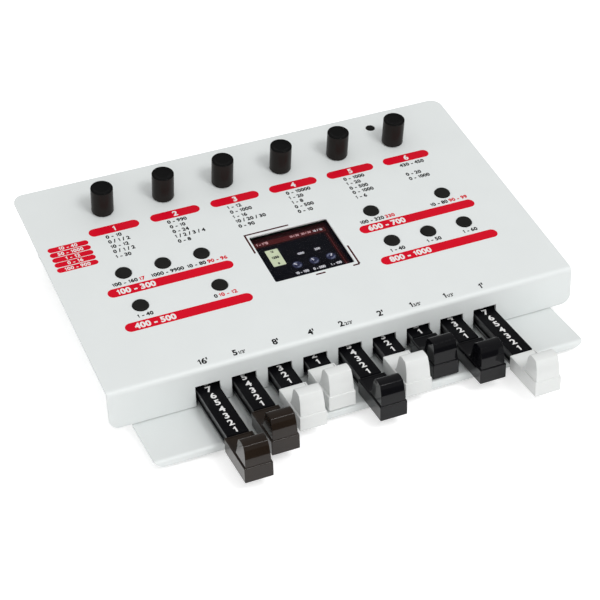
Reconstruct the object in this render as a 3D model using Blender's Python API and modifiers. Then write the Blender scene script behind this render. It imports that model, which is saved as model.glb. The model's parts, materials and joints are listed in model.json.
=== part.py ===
"""Desktop organ sound module: a folded steel case with nine drawbars, six rotary encoders, ten push
buttons and a small display. Metres, +Z up, the front towards -Y. Run with blender --background --python."""

import math

import bmesh
import bpy
from mathutils import Matrix, Vector

MODULE = "organ_sound_module"

# Folded steel case
SHEET = 0.0015
PANEL_WIDTH = 0.2686
PANEL_LENGTH = 0.1664
PANEL_TILT_DEG = 9.7
PANEL_CORNER = 0.0065
PANEL_BEND = 0.004
FLANGE_HEIGHT = 0.021
FLANGE_CORNER = 0.0055
SHELF_GAP = 0.002
SHELF_WIDTH = 0.245
SHELF_REACH = 0.034
SHELF_CORNER = 0.0035
SHELF_BEND = 0.002
LIP_DEPTH = 0.0042
WALL_INSET = 0.0018
WALL_BEND = 0.0025
BASE_DEPTH = 0.180
REAR_HEIGHT = 0.033
REAR_OVERHANG = 0.003
RELIEF = 0.001
FOLD_STEPS = 4

# Gaps between pieces that rest on or pass through each other, and how far a cutter or a root
# reaches past the face that it starts at
SEAT = 0.0003
SLOT_CLEARANCE = 0.0008
HOLE_CLEARANCE = 0.0003
OVERCUT = 0.001

# Drawbars
BAR_COUNT = 9
BAR_PITCH = 0.02013
BAR_WIDTH = 0.0121
BAR_HEIGHT = 0.008
BAR_LIFT = 0.002
BAR_TAIL = 0.0937
BAR_GROOVE_DEPTH = 0.001
BAR_GROOVE_HEIGHT = 0.0042
NOTCH_HEADROOM = 0.00265
STOP_PITCH = 0.00615
STOPS = 8
SETTINGS = (6.55, 4.25, 2.35, 0.88, 3.95, 1.95, 0.62, 2.95, 6.5)
KNOB_COLOURS = ("brown", "brown", "white", "white", "black", "white", "black", "black", "white")

# Thumb knob of a drawbar
KNOB_WIDTH = 0.0152
KNOB_LENGTH = 0.0273
KNOB_LIFT = 0.001
KNOB_HEIGHT = 0.021
BLOCK_HEIGHT = 0.0088
BLOCK_EDGE = 0.0004
RIM = 0.0007
HUMP_SETBACK = 0.0006
HUMP_DRAFT = 0.0005
CREST_BACK = 0.0096
SCOOP_FOOT = 0.0145
SCOOP_FLOOR = 0.0071
KNOB_STOP_GAP = 0.0017
TONGUE_RISE = 0.0019
TONGUE_WIDTH = 0.0094
TONGUE_HEIGHT = 0.0042
TONGUE_LENGTH = 0.012

# Drawbar guide, sliders and their board
GUIDE_FRONT = 0.004
GUIDE_WALL = 0.005
GUIDE_SPACING = 0.018
GUIDE_PIN_MARGIN = 0.0085
GUIDE_END_MARGIN = 0.0055
LEVER_INSET = 0.005
LEVER_THICKNESS = 0.0012
LEVER_LENGTH = 0.004
LEVER_RISE = 0.0035
SLIDER_END = 0.0085
SLIDER_WIDTH = 0.0068
SLIDER_HEIGHT = 0.0065
SLIDER_GAP = 0.0005
SLIDER_SLOT = 0.0024
SLIDER_SLOT_END = 0.001
BOARD = 0.0016
DRAWBAR_BOARD_FRONT = 0.0215
DRAWBAR_BOARD_LENGTH = 0.0765

# Rotary encoders
ENCODERS = 6
ENCODER_PITCH = 0.036
ENCODER_ROW = 0.1371
ENCODER_BODY = 0.012
ENCODER_LID = 0.002
BUSH_DIAMETER = 0.007
BUSH_HEIGHT = 0.003
SHAFT_DIAMETER = 0.005
SHAFT_DEPTH = 0.0045
SHAFT_END_GAP = 0.0009
ROTARY_DIAMETER = 0.01256
ROTARY_HEIGHT = 0.0162
ROTARY_GAP = 0.0005
ROTARY_RECESS = 0.004
ROTARY_DISH = 0.0005
ROTARY_EDGE = 0.0005

# Push buttons
BUTTON_INNER = 0.0513
BUTTON_SIDE_MARGIN = 0.0244
BUTTON_ROWS = (0.0835, 0.0561)
BUTTON_DIAMETER = 0.0086
BUTTON_PROUD = 0.0009
BUTTON_EDGE = 0.0005
BUTTON_TRAVEL = 0.0005
BUTTON_FLANGE = 0.0106
BUTTON_FLANGE_HEIGHT = 0.0009
STEM_DIAMETER = 0.0032
SWITCH_SIZE = 0.006
SWITCH_HEIGHT = 0.0035
SWITCH_WELL = 0.002

# Display and status lens
WINDOW_WIDTH = 0.0456
WINDOW_HEIGHT = 0.0378
WINDOW_ROW = 0.067
WINDOW_CORNER = 0.0008
WINDOW_MARGIN = 0.003
WINDOW_FLANGE = 0.0012
LENS_X = 0.0835
LENS_ROW = 0.1538
LENS_DIAMETER = 0.005
LENS_FLANGE = 0.0072
LENS_PROUD = 0.0004

# Board under the panel, and the posts with locating pins that carry every board
PANEL_BOARD_DEPTH = 0.0068
PANEL_BOARD_SIDE_GAP = 0.0054
PANEL_BOARD_FRONT = 0.044
PANEL_BOARD_BACK_GAP = 0.0084
PANEL_MIDDLE_POST = (0.037, 0.100)
POST_DIAMETER = 0.0056
POST_INSET = 0.006
POST_ROOT = 0.0008
PIN_DIAMETER = 0.0026
PIN_PROUD = 0.0008
PIN_CLEARANCE = 0.0003
SOLDER = 0.0004

# Main board
MAIN_BOARD_SIDE_GAP = 0.0052
MAIN_BOARD_LENGTH = 0.058
MAIN_BOARD_INSET = 0.0015
MAIN_POST_HEIGHT = 0.006

# Sockets on the rear wall, with +X to the right seen from the front
SOCKET_CENTRE = 0.0098
POWER_AT = 0.837
POWER_BODY = (0.009, 0.014, 0.011)
POWER_BARREL = 0.008
POWER_BORE = 0.0063
POWER_PIN = 0.002
POWER_DEPTH = 0.0095
POWER_PIN_SET = 0.0012
USB_AT = 0.630
USB_BODY = (0.012, 0.016, 0.0108)
USB_MOUTH = (0.00845, 0.0078)
USB_TONGUE = (0.0056, 0.0032)
USB_TONGUE_SET = 0.0046
USB_DEPTH = 0.012
DIN_AT = (0.398, 0.191)
DIN_BODY = (0.019, 0.012, 0.0185)
DIN_NOSE = 0.0155
DIN_GROOVE = (0.012, 0.0142)
DIN_GROOVE_DEPTH = 0.006
DIN_PIN_CIRCLE = 0.0075
DIN_PIN_HOLE = 0.0016
DIN_PINS = 5
JACK_COUNT = 4
JACK_FIRST_AT = -0.083
JACK_STEP = 0.232
JACK_BODY = (0.0155, 0.024, 0.016)
JACK_BUSH = 0.009
JACK_BORE = 0.0065
JACK_PROUD = 0.0035
JACK_NUT = 0.012
JACK_NUT_HEIGHT = 0.0022
JACK_BORE_END = 0.002

# Rails that hold the cover, and its screws
RAIL_ENDS = (0.022, 0.152)
RAIL_DROP = 0.0135
RAIL_FLANGE = 0.009
COVER_SCREWS = (0.036, 0.138)
COVER_SCREW_DEPTH = 0.009
COVER_SCREW_SHANK = 0.003
COVER_SCREW_HEAD = 0.0056
COVER_SCREW_HEAD_HEIGHT = 0.0018
COVER_SCREW_LENGTH = 0.0058

# Feet
FOOT_HEIGHT = 0.0055
FOOT_DIAMETER = 0.0125
FOOT_EDGE = 0.0006
FOOT_INSET = 0.0187
FOOT_FRONT = 0.012
FOOT_REAR = 0.018

# Flat cable with a plug on each of the three boards
RIBBON = 0.0009
RIBBON_WIDTH = 0.026
RIBBON_X = 0.062
PLUG_HEIGHT = 0.0045
PLUG_LENGTH = 0.006
PLUG_MARGIN = 0.0015
PANEL_PLUG_ROW = 0.104
DRAWBAR_PLUG_BACK = 0.010
MAIN_PLUG_FRONT = 0.007

ROUND = 16
SMALL_ROUND = 10
KNOB_ROUND = 20

# Places that follow from the sizes above, with the origin on the table under the object's middle
TILT = math.radians(PANEL_TILT_DEG)
BASE_Z = FOOT_HEIGHT
SHELF_Z = BASE_Z + SHEET
FLANGE_Z = SHELF_Z + SHELF_GAP
BEND_Z = FLANGE_Z + FLANGE_HEIGHT
TRAVEL = STOPS * STOP_PITCH
KNOB_REACH_IN = KNOB_STOP_GAP + KNOB_LENGTH
FRONT_REACH = KNOB_REACH_IN + max(SETTINGS) * STOP_PITCH
FLANGE_Y = (FRONT_REACH - BASE_DEPTH - JACK_PROUD) / 2
REAR_Y = FLANGE_Y + BASE_DEPTH
WALL_X = SHELF_WIDTH / 2 - WALL_INSET
POWER_X = POWER_AT * WALL_X
USB_X = USB_AT * WALL_X
DIN_XS = tuple(share * WALL_X for share in DIN_AT)
BUTTON_OUTER = WALL_X - BUTTON_SIDE_MARGIN
FOOT_X = WALL_X - FOOT_INSET
BAR_Z = SHELF_Z + BAR_LIFT
BAR_TOP = BAR_Z + BAR_HEIGHT
NOTCH_HEIGHT = BAR_TOP + NOTCH_HEADROOM - FLANGE_Z
NOTCH_WIDTH = BAR_WIDTH + 2 * SLOT_CLEARANCE
UNDERSIDE = -SHEET - SEAT
BOARD_TOP = UNDERSIDE - PANEL_BOARD_DEPTH
SLIDER_Z = BAR_TOP + SLIDER_GAP
DRAWBAR_BOARD_Z = SLIDER_Z + SLIDER_HEIGHT + SEAT
GUIDE_Y = FLANGE_Y + GUIDE_FRONT
GUIDE_PIN_X = (BAR_COUNT - 1) / 2 * BAR_PITCH + BAR_WIDTH / 2 + GUIDE_PIN_MARGIN
GUIDE_WIDTH = 2 * (GUIDE_PIN_X + GUIDE_END_MARGIN)
DRAWBAR_BOARD_BACK = FLANGE_Y + DRAWBAR_BOARD_FRONT + DRAWBAR_BOARD_LENGTH
LEVER_IN = BAR_TAIL - KNOB_STOP_GAP - LEVER_INSET
MAIN_BOARD_Z = SHELF_Z + MAIN_POST_HEIGHT + SEAT
MAIN_BOARD_TOP = MAIN_BOARD_Z + BOARD
MAIN_BOARD_BACK = REAR_Y - SHEET - MAIN_BOARD_INSET
MAIN_BOARD_Y = MAIN_BOARD_BACK - MAIN_BOARD_LENGTH
MAIN_BOARD_HALF = WALL_X - SHEET - MAIN_BOARD_SIDE_GAP
RAIL_X = WALL_X - SHEET - SEAT
PANEL_BOARD_HALF = RAIL_X - SHEET - PANEL_BOARD_SIDE_GAP
PANEL_BOARD_BACK = PANEL_LENGTH - PANEL_BOARD_BACK_GAP
BOARD_HOLE = PIN_DIAMETER + 2 * PIN_CLEARANCE
SOCKET_Z = MAIN_BOARD_TOP + SEAT + SOCKET_CENTRE


def clear_scene():
    for old in list(bpy.data.objects):
        bpy.data.objects.remove(old)


def new_collection(name):
    collection = bpy.data.collections.new(name)
    bpy.context.scene.collection.children.link(collection)
    return collection


def material(name, colour, roughness, metallic=0.0):
    made = bpy.data.materials.new(name)
    made.use_nodes = True
    shader = made.node_tree.nodes["Principled BSDF"]
    shader.inputs["Base Color"].default_value = (*colour, 1.0)
    shader.inputs["Roughness"].default_value = roughness
    shader.inputs["Metallic"].default_value = metallic
    return made


def piece(name, mesh, finish, place=None, parent=None):
    """One named sub-part of the module, at its place in the world or under its parent."""
    made = bpy.data.objects.new(name, mesh)
    parts.objects.link(made)
    made.parent = parent
    made.matrix_local = place or Matrix()
    mesh.materials.clear()
    mesh.materials.append(finish)
    mesh.set_sharp_from_angle(angle=math.radians(35))
    mesh.shade_smooth()
    return made


def at(x, y, z):
    return Matrix.Translation((x, y, z))


def arc(centre, radius, start_deg, end_deg, steps):
    """Points along an arc, from the first angle to the last."""
    for k in range(steps + 1):
        turn = math.radians(start_deg + (end_deg - start_deg) * k / steps)
        yield (centre[0] + radius * math.cos(turn), centre[1] + radius * math.sin(turn))


def circle(centre, diameter, steps=ROUND):
    return list(arc(centre, diameter / 2, 0, 360, steps))[:-1]


def rectangle(centre, width, height, corner=0.0, steps=3):
    x, y = width / 2 - corner, height / 2 - corner
    if not corner:
        signs = ((1, 1), (-1, 1), (-1, -1), (1, -1))
        return [(centre[0] + a * x, centre[1] + b * y) for a, b in signs]
    corners = ((x, y, 0), (-x, y, 90), (-x, -y, 180), (x, -y, 270))
    return [
        point
        for a, b, turn in corners
        for point in arc((centre[0] + a, centre[1] + b), corner, turn, turn + 90, steps)
    ]


def plate(outline, thickness, bottom):
    """A flat plate: its closed outline filled with one face, and extruded."""
    mesh = bpy.data.meshes.new("plate")

    def make(body):
        corners = [body.verts.new((x, y, bottom)) for x, y in outline]
        loop = [body.edges.new(pair) for pair in zip(corners, corners[1:] + corners[:1])]
        face = bmesh.ops.contextual_create(body, geom=loop)["faces"]
        top = bmesh.ops.extrude_face_region(body, geom=face)["geom"]
        raised = [item for item in top if isinstance(item, bmesh.types.BMVert)]
        bmesh.ops.translate(body, vec=(0, 0, thickness), verts=raised)

    return edit(mesh, make)


def blank(outlines, thickness, bottom=0.0):
    """A flat plate cut along closed outlines: the first is its edge and the others are its holes."""
    mesh = plate(outlines[0], thickness, bottom)
    if len(outlines) == 1:
        return mesh
    holes = [plate(hole, 3 * thickness, bottom - thickness) for hole in outlines[1:]]
    return combined(mesh, [grouped(holes)], "DIFFERENCE")


def grouped(meshes):
    """Separate shapes kept in one mesh, to cut them all at once."""
    group = bmesh.new()
    for mesh in meshes:
        group.from_mesh(mesh)
    made = bpy.data.meshes.new("group")
    group.to_mesh(made)
    group.free()
    return made


def edit(mesh, change):
    """Runs one change on a mesh through bmesh, and points its faces outwards."""
    body = bmesh.new()
    body.from_mesh(mesh)
    change(body)
    bmesh.ops.recalc_face_normals(body, faces=body.faces)
    body.to_mesh(mesh)
    body.free()
    return mesh


def fold(mesh, axis, sign, start, radius, angle, up, skin=0.0, where=lambda point: True):
    """Bends the part of a flat blank that lies past one line, about that line. The skin is the height
    of the face that ends up outside the bend, and the radius is that face's own."""
    length = radius * angle
    across = Vector((0, 0, 0))
    across[axis] = sign

    def bend(body):
        for k in range(FOLD_STEPS + 1):
            everything = body.verts[:] + body.edges[:] + body.faces[:]
            line = across * (start + length * k / FOLD_STEPS)
            bmesh.ops.bisect_plane(body, geom=everything, dist=1e-7, plane_co=line, plane_no=across)
        for vertex in body.verts:
            past = sign * vertex.co[axis] - start
            if past <= 1e-7 or not where(vertex.co):
                continue
            turn = min(past / radius, angle)
            straight = past - turn * radius
            ring = radius - up * (vertex.co.z - skin)
            vertex.co[axis] = sign * (start + ring * math.sin(turn) + straight * math.cos(turn))
            vertex.co.z = skin + up * (radius - ring * math.cos(turn) + straight * math.sin(turn))

    return edit(mesh, bend)


def block(size, centre, edge=0.0, segments=1):
    """A box with every edge broken by the same small bevel."""
    mesh = bpy.data.meshes.new("block")

    def make(body):
        bmesh.ops.create_cube(body, size=1.0)
        bmesh.ops.scale(body, vec=size, verts=body.verts)
        if edge:
            bmesh.ops.bevel(
                body, geom=body.edges[:], offset=edge, segments=segments, profile=0.5, affect="EDGES"
            )
        bmesh.ops.translate(body, vec=centre, verts=body.verts)

    return edit(mesh, make)


def turned(profile, steps=ROUND):
    """A solid of revolution about Z from (radius, height) points, run down its outer side."""
    mesh = bpy.data.meshes.new("profile")
    closed = profile[0][0] > 0
    edges = [(k, k + 1) for k in range(len(profile) - 1)]
    if closed:
        edges.append((len(profile) - 1, 0))
    mesh.from_pydata([(r, 0, z) for r, z in profile], edges, [])
    shape = bpy.data.objects.new("profile", mesh)
    parts.objects.link(shape)
    screw = shape.modifiers.new("turn", "SCREW")
    screw.steps = screw.render_steps = steps
    screw.use_merge_vertices = True
    screw.merge_threshold = 1e-6
    return settled(shape)


def settled(shape):
    """The mesh of a helper object with its modifiers applied; the object itself is removed."""
    bpy.context.view_layer.update()
    mesh = bpy.data.meshes.new_from_object(shape.evaluated_get(bpy.context.evaluated_depsgraph_get()))
    bpy.data.objects.remove(shape)
    return edit(mesh, lambda body: bmesh.ops.remove_doubles(body, verts=body.verts, dist=2e-6))


def combined(mesh, others, operation):
    """A mesh with others cut from it (DIFFERENCE) or joined to it (UNION)."""
    shape = bpy.data.objects.new("shape", mesh)
    parts.objects.link(shape)
    helpers = []
    for other in others:
        helper = bpy.data.objects.new("helper", other)
        cutters.objects.link(helper)
        helper.hide_render = True
        helper.display_type = "WIRE"
        boolean = shape.modifiers.new("boolean", "BOOLEAN")
        boolean.operation = operation
        boolean.solver = "EXACT"
        boolean.object = helper
        helpers.append(helper)
    made = settled(shape)
    for helper in helpers:
        bpy.data.objects.remove(helper)
    return made


def moved(mesh, matrix):
    mesh.transform(matrix)
    return mesh


def joined(pieces):
    """Pieces that overlap, made into one solid."""
    return combined(pieces[0], pieces[1:], "UNION")


def copied(mesh, places):
    """A copy of a mesh at each place."""
    return [moved(mesh.copy(), place) for place in places]


def upright(outlines, thickness):
    """A plate drawn in X and Z that stands across Y, centred on y = 0."""
    return moved(blank(outlines, thickness, -thickness / 2), Matrix.Rotation(math.pi / 2, 4, "X"))


def sideways(outlines, thickness):
    """A plate drawn in Y and Z that stands across X, centred on x = 0."""
    turn = Matrix(((0, 0, 1), (1, 0, 0), (0, 1, 0)))
    return moved(blank(outlines, thickness, -thickness / 2), turn.to_4x4())


def on_panel(x, row, height=0.0):
    """World place of a point given across the panel, up its slope, and out of its skin."""
    return panel.matrix_world @ Vector((x, row, height))


def bar_x(number):
    return (number - (BAR_COUNT - 1) / 2) * BAR_PITCH


def encoder_x(number):
    return (number - (ENCODERS - 1) / 2) * ENCODER_PITCH


def button_places():
    """The middles of the ten buttons: three and two on the left, two and three on the right."""
    ends = (BUTTON_INNER, BUTTON_OUTER)
    middle = sum(ends) / 2
    upper, lower = BUTTON_ROWS
    left = [(-x, upper) for x in (ends[1], middle, ends[0])] + [(-x, lower) for x in ends[::-1]]
    right = [(x, upper) for x in ends] + [(x, lower) for x in (ends[0], middle, ends[1])]
    return left + right


def mirrored_pairs(points):
    return [(s * x, y) for x, y in points for s in (-1, 1)]


def top_cover():
    """The panel and its front flange, cut from one sheet and folded along the front."""
    angle = math.pi / 2 - TILT
    tangent = PANEL_BEND * math.tan(angle / 2)
    lower = 2 * tangent - PANEL_BEND * angle - FLANGE_HEIGHT
    half = PANEL_WIDTH / 2
    back = PANEL_LENGTH - PANEL_CORNER
    outline = [
        *arc((-half + FLANGE_CORNER, lower + FLANGE_CORNER), FLANGE_CORNER, 180, 270, 6),
        *arc((half - FLANGE_CORNER, lower + FLANGE_CORNER), FLANGE_CORNER, 270, 360, 6),
        *arc((half - PANEL_CORNER, back), PANEL_CORNER, 0, 90, 6),
        *arc((-half + PANEL_CORNER, back), PANEL_CORNER, 90, 180, 6),
    ]
    window = rectangle((0, WINDOW_ROW), WINDOW_WIDTH, WINDOW_HEIGHT, WINDOW_CORNER)
    bush_hole = BUSH_DIAMETER + 2 * HOLE_CLEARANCE
    button_hole = BUTTON_DIAMETER + 2 * HOLE_CLEARANCE
    holes = [window, circle((LENS_X, LENS_ROW), LENS_DIAMETER + 2 * HOLE_CLEARANCE)]
    holes += [circle((encoder_x(k), ENCODER_ROW), bush_hole) for k in range(ENCODERS)]
    holes += [circle(place, button_hole) for place in button_places()]
    notch = block((NOTCH_WIDTH, 2 * NOTCH_HEIGHT, 4 * SHEET), (0, lower, 0))
    notches = copied(notch, [at(bar_x(k), 0, 0) for k in range(BAR_COUNT)])
    mesh = combined(blank([outline] + holes, SHEET, -SHEET), [grouped(notches)], "DIFFERENCE")
    fold(mesh, 1, -1, -tangent, PANEL_BEND, angle, -1)
    mesh = joined([mesh] + cover_rails() + panel_posts())
    return piece("top_cover", mesh, white_steel, parent=panel)


def cover_rails():
    """Two angle rails spot-welded under the panel, just inside the side walls, for the case screws."""
    length, middle = RAIL_ENDS[1] - RAIL_ENDS[0], (RAIL_ENDS[1] + RAIL_ENDS[0]) / 2
    top = -SHEET / 2
    flat = block((RAIL_FLANGE, length, SHEET * 1.5), (RAIL_X - RAIL_FLANGE / 2, middle, top - SHEET * 0.75))
    web = rectangle((middle, top - RAIL_DROP / 2), length, RAIL_DROP)
    size = COVER_SCREW_SHANK + 2 * HOLE_CLEARANCE
    holes = [circle((row, -COVER_SCREW_DEPTH), size, SMALL_ROUND) for row in COVER_SCREWS]
    right = joined([flat, moved(sideways([web] + holes, SHEET), at(RAIL_X - SHEET / 2, 0, 0))])
    left = edit(moved(right.copy(), Matrix.Scale(-1, 4, (1, 0, 0))), lambda body: None)
    return [right, left]


def panel_post_places():
    x, front = PANEL_BOARD_HALF - POST_INSET, PANEL_BOARD_FRONT + POST_INSET
    back = PANEL_BOARD_BACK - POST_INSET
    return mirrored_pairs([(x, front), (x, back), PANEL_MIDDLE_POST])


def panel_posts():
    """Posts pressed into the panel's underside, each with a pin through the board below it."""
    turn = Matrix.Rotation(math.pi, 4, "X")
    one = post(PANEL_BOARD_DEPTH, POST_ROOT)
    return copied(one, [at(x, y, -SHEET) @ turn for x, y in panel_post_places()])


def post(height, root):
    """A round post on z = 0, with its root sunk below and a locating pin for the board on top."""
    outer, pin, top = POST_DIAMETER / 2, PIN_DIAMETER / 2, height + SEAT + BOARD + PIN_PROUD
    profile = [(0, top), (pin, top), (pin, height), (outer, height), (outer, -root), (0, -root)]
    return turned(profile, SMALL_ROUND)


def wall_top(y):
    """Height of the side walls' upper edge at y, just under the panel."""
    slope = math.tan(TILT)
    return BEND_Z + (y - FLANGE_Y) * slope - (SHEET + SEAT) / math.cos(TILT)


def base_tray():
    """The base plate, its shelf and lip, the side walls and the rear wall, folded from one sheet.
    It is drawn flat from its outer skin, with the folds worked out from the finished sizes."""
    bend = WALL_BEND * math.pi / 2
    fold_x = WALL_X - WALL_BEND
    fold_y = REAR_Y - WALL_BEND
    front = FLANGE_Y + SHEET + SEAT
    rear_top = on_panel(0, PANEL_LENGTH).y - REAR_OVERHANG
    rise = wall_top(rear_top) - BASE_Z - REAR_HEIGHT
    crease = math.atan2(REAR_Y - rear_top, rise)
    corner = WALL_BEND * math.tan(crease / 2)
    lean = WALL_BEND * crease + math.hypot(REAR_Y - rear_top, rise) - 2 * corner - SEAT
    lip_bend = SHELF_BEND * math.pi / 2
    lip_line = FLANGE_Y - SHELF_REACH + SHELF_BEND
    lip_end = lip_line - lip_bend - (LIP_DEPTH - SHELF_BEND)

    def out_x(height):
        return fold_x + bend + height - WALL_BEND

    def out_y(height):
        return fold_y + bend + height - WALL_BEND

    half, inner = SHELF_WIDTH / 2, WALL_X - SHEET - SEAT
    shoulder = front + PANEL_BEND
    side = [
        *arc((half - SHELF_CORNER, lip_end + SHELF_CORNER), SHELF_CORNER, 270, 360, 5),
        (half, front - RELIEF),
        (fold_x - RELIEF, front - RELIEF),
        (fold_x - RELIEF, front),
        (out_x(BEND_Z - PANEL_BEND - BASE_Z), front),
        (out_x(wall_top(shoulder) - BASE_Z), shoulder),
        (out_x(wall_top(rear_top) - BASE_Z), rear_top),
        (out_x(REAR_HEIGHT), REAR_Y),
        (fold_x + bend + RELIEF, REAR_Y),
        (fold_x + bend + RELIEF, fold_y - RELIEF),
        (fold_x - RELIEF, fold_y - RELIEF),
        (fold_x - RELIEF, fold_y + bend + RELIEF),
        (inner, fold_y + bend + RELIEF),
        (inner, out_y(REAR_HEIGHT - corner + lean)),
    ]
    outline = side + [(-x, y) for x, y in reversed(side)]
    holes = tray_rear_holes(out_y) + tray_wall_holes(out_x)
    mesh = blank([outline] + holes, SHEET)
    fold(mesh, 1, 1, out_y(REAR_HEIGHT - corner), WALL_BEND, crease, 1)
    fold(mesh, 1, 1, fold_y, WALL_BEND, math.pi / 2, 1, where=lambda p: abs(p.x) < WALL_X)
    for sign in (-1, 1):
        walls_only = lambda p: front - SEAT < p.y < REAR_Y + SEAT and p.z < SHEET + SEAT
        fold(mesh, 0, sign, fold_x, WALL_BEND, math.pi / 2, 1, where=walls_only)
    fold(mesh, 1, -1, -lip_line, SHELF_BEND, math.pi / 2, -1, skin=SHEET)
    mesh = joined([mesh] + tray_posts())
    return piece("base_tray", mesh, white_steel, at(0, 0, BASE_Z))


def guide_pin_places():
    middle = GUIDE_Y + (GUIDE_WALL + GUIDE_SPACING) / 2
    return mirrored_pairs([(GUIDE_PIN_X, middle)])


def tall_post_places():
    return mirrored_pairs([(GUIDE_PIN_X, DRAWBAR_BOARD_BACK - POST_INSET)])


def main_post_places():
    near, far = MAIN_BOARD_Y + POST_INSET, MAIN_BOARD_BACK - POST_INSET
    side = MAIN_BOARD_HALF - POST_INSET
    return mirrored_pairs([(side, near), (side, far)]) + [(0, near), (0, far)]


def tray_posts():
    """Posts pressed into the base plate: six under the main board, two tall ones under the back of
    the drawbars' board, and two pins for the drawbars' guide."""
    low, tall = post(MAIN_POST_HEIGHT, POST_ROOT), post(DRAWBAR_BOARD_Z - SEAT - SHELF_Z, POST_ROOT)
    pin, top = PIN_DIAMETER / 2, BAR_LIFT + PIN_PROUD
    guide_pin = turned([(0, top), (pin, top), (pin, -POST_ROOT), (0, -POST_ROOT)], SMALL_ROUND)
    posts = []
    for one, places in (
        (low, main_post_places()),
        (tall, tall_post_places()),
        (guide_pin, guide_pin_places()),
    ):
        posts += copied(one, [at(x, y, SHEET) for x, y in places])
    return posts


def tray_rear_holes(out_y):
    """The openings of the rear wall, round its sockets."""
    row = out_y(SOCKET_Z - BASE_Z)
    power = circle((POWER_X, row), POWER_BARREL + 2 * HOLE_CLEARANCE)
    usb = rectangle((USB_X, row), USB_BODY[0] + 2 * HOLE_CLEARANCE, USB_BODY[2] + 2 * HOLE_CLEARANCE)
    din = [circle((x, row), DIN_NOSE + 2 * HOLE_CLEARANCE) for x in DIN_XS]
    jacks = [circle((x, row), JACK_BUSH + 2 * HOLE_CLEARANCE) for x in jack_xs()]
    return [power, usb] + din + jacks


def tray_wall_holes(out_x):
    """The cover screws' holes in both side walls."""
    holes = []
    for row in COVER_SCREWS:
        middle = on_panel(0, row, -COVER_SCREW_DEPTH)
        reach = out_x(middle.z - BASE_Z)
        for sign in (-1, 1):
            size = COVER_SCREW_SHANK + 2 * HOLE_CLEARANCE
            holes.append(circle((sign * reach, middle.y), size, SMALL_ROUND))
    return holes


def foot_places():
    return mirrored_pairs([(FOOT_X, FLANGE_Y - FOOT_FRONT), (FOOT_X, REAR_Y - FOOT_REAR)])


def feet():
    """Four round rubber feet stuck to the base plate."""
    outer, top = FOOT_DIAMETER / 2, FOOT_HEIGHT - SEAT
    mesh = turned([(0, top), (outer, top), (outer, FOOT_EDGE), (outer - FOOT_EDGE, 0), (0, 0)])
    for number, (x, y) in enumerate(foot_places(), start=1):
        piece(f"foot_{number}", mesh.copy(), black_rubber, at(x, y, 0))


def knob_profile():
    """The side outline of a drawbar knob's inner body: distance behind the front, and height.
    A nearly upright front curves over to the crest, and a scoop for the finger lies behind it."""
    low, rim_top = 0.0004, BLOCK_HEIGHT - 0.0002
    brow = KNOB_HEIGHT - 0.0006
    front = [
        (HUMP_SETBACK, low),
        (HUMP_SETBACK, BLOCK_HEIGHT),
        (HUMP_SETBACK + 0.0003, BLOCK_HEIGHT + 0.0035),
        (HUMP_SETBACK + 0.0010, BLOCK_HEIGHT + 0.0072),
        (HUMP_SETBACK + 0.0021, brow - 0.0010),
        (HUMP_SETBACK + 0.0026, brow - 0.0003),
        (HUMP_SETBACK + 0.0034, brow),
        (HUMP_SETBACK + 0.0058, KNOB_HEIGHT - 0.0001),
        (CREST_BACK - 0.0012, KNOB_HEIGHT),
        (CREST_BACK, KNOB_HEIGHT - 0.0005),
    ]
    rise = KNOB_HEIGHT - 0.0005 - SCOOP_FLOOR
    scoop = []
    for k in range(1, 7):
        share = k / 7
        drop = 1 - (1 - share) ** 2
        scoop.append((CREST_BACK + (SCOOP_FOOT - CREST_BACK) * share**1.6, SCOOP_FLOOR + rise * (1 - drop)))
    back = KNOB_LENGTH - RIM
    floor = [(SCOOP_FOOT, SCOOP_FLOOR), ((SCOOP_FOOT + back) / 2, SCOOP_FLOOR + 0.0002)]
    floor += [(back - 0.0022, rim_top - 0.0006), (back, rim_top), (back, low)]
    return front + scoop + floor


def drawbar_knob_mesh():
    """A thumb knob seen along the drawbar: a broad block with a socket, and a narrower hump on it.
    Its front is at y = 0 and its underside at z = 0."""
    inner, overlap = KNOB_WIDTH - 2 * RIM, 0.0003
    hump = sideways([knob_profile()], inner)

    def shape_hump(body):
        everything = body.verts[:] + body.edges[:] + body.faces[:]
        level = Vector((0, 0, BLOCK_HEIGHT))
        bmesh.ops.bisect_plane(body, geom=everything, dist=1e-7, plane_co=level, plane_no=(0, 0, 1))
        for vertex in body.verts:
            above = max(0.0, vertex.co.z - BLOCK_HEIGHT) / (KNOB_HEIGHT - BLOCK_HEIGHT)
            vertex.co.x -= math.copysign(HUMP_DRAFT * above, vertex.co.x)
        limit = math.radians(0.5)
        bmesh.ops.dissolve_limit(body, angle_limit=limit, verts=body.verts[:], edges=body.edges[:])
        body.normal_update()
        brow = [edge for edge in body.edges if is_brow(edge)]
        bmesh.ops.bevel(body, geom=brow, offset=BLOCK_EDGE, segments=1, profile=0.5, affect="EDGES")

    edit(hump, shape_hump)
    outer_size = (KNOB_WIDTH, KNOB_LENGTH, BLOCK_HEIGHT)
    outer = block(outer_size, (0, KNOB_LENGTH / 2, BLOCK_HEIGHT / 2), BLOCK_EDGE)
    near, far = HUMP_SETBACK + overlap, KNOB_LENGTH - RIM - overlap
    well_size = (inner - 2 * overlap, far - near, 2 * BLOCK_HEIGHT)
    frame = combined(outer, [block(well_size, (0, (near + far) / 2, BLOCK_HEIGHT / 2))], "DIFFERENCE")
    size = (TONGUE_WIDTH + 2 * SEAT, 2 * (TONGUE_LENGTH + SEAT), TONGUE_HEIGHT + 2 * SEAT)
    socket = block(size, (0, KNOB_LENGTH, TONGUE_RISE + TONGUE_HEIGHT / 2))
    return combined(joined([frame, hump]), [socket], "DIFFERENCE")


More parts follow.
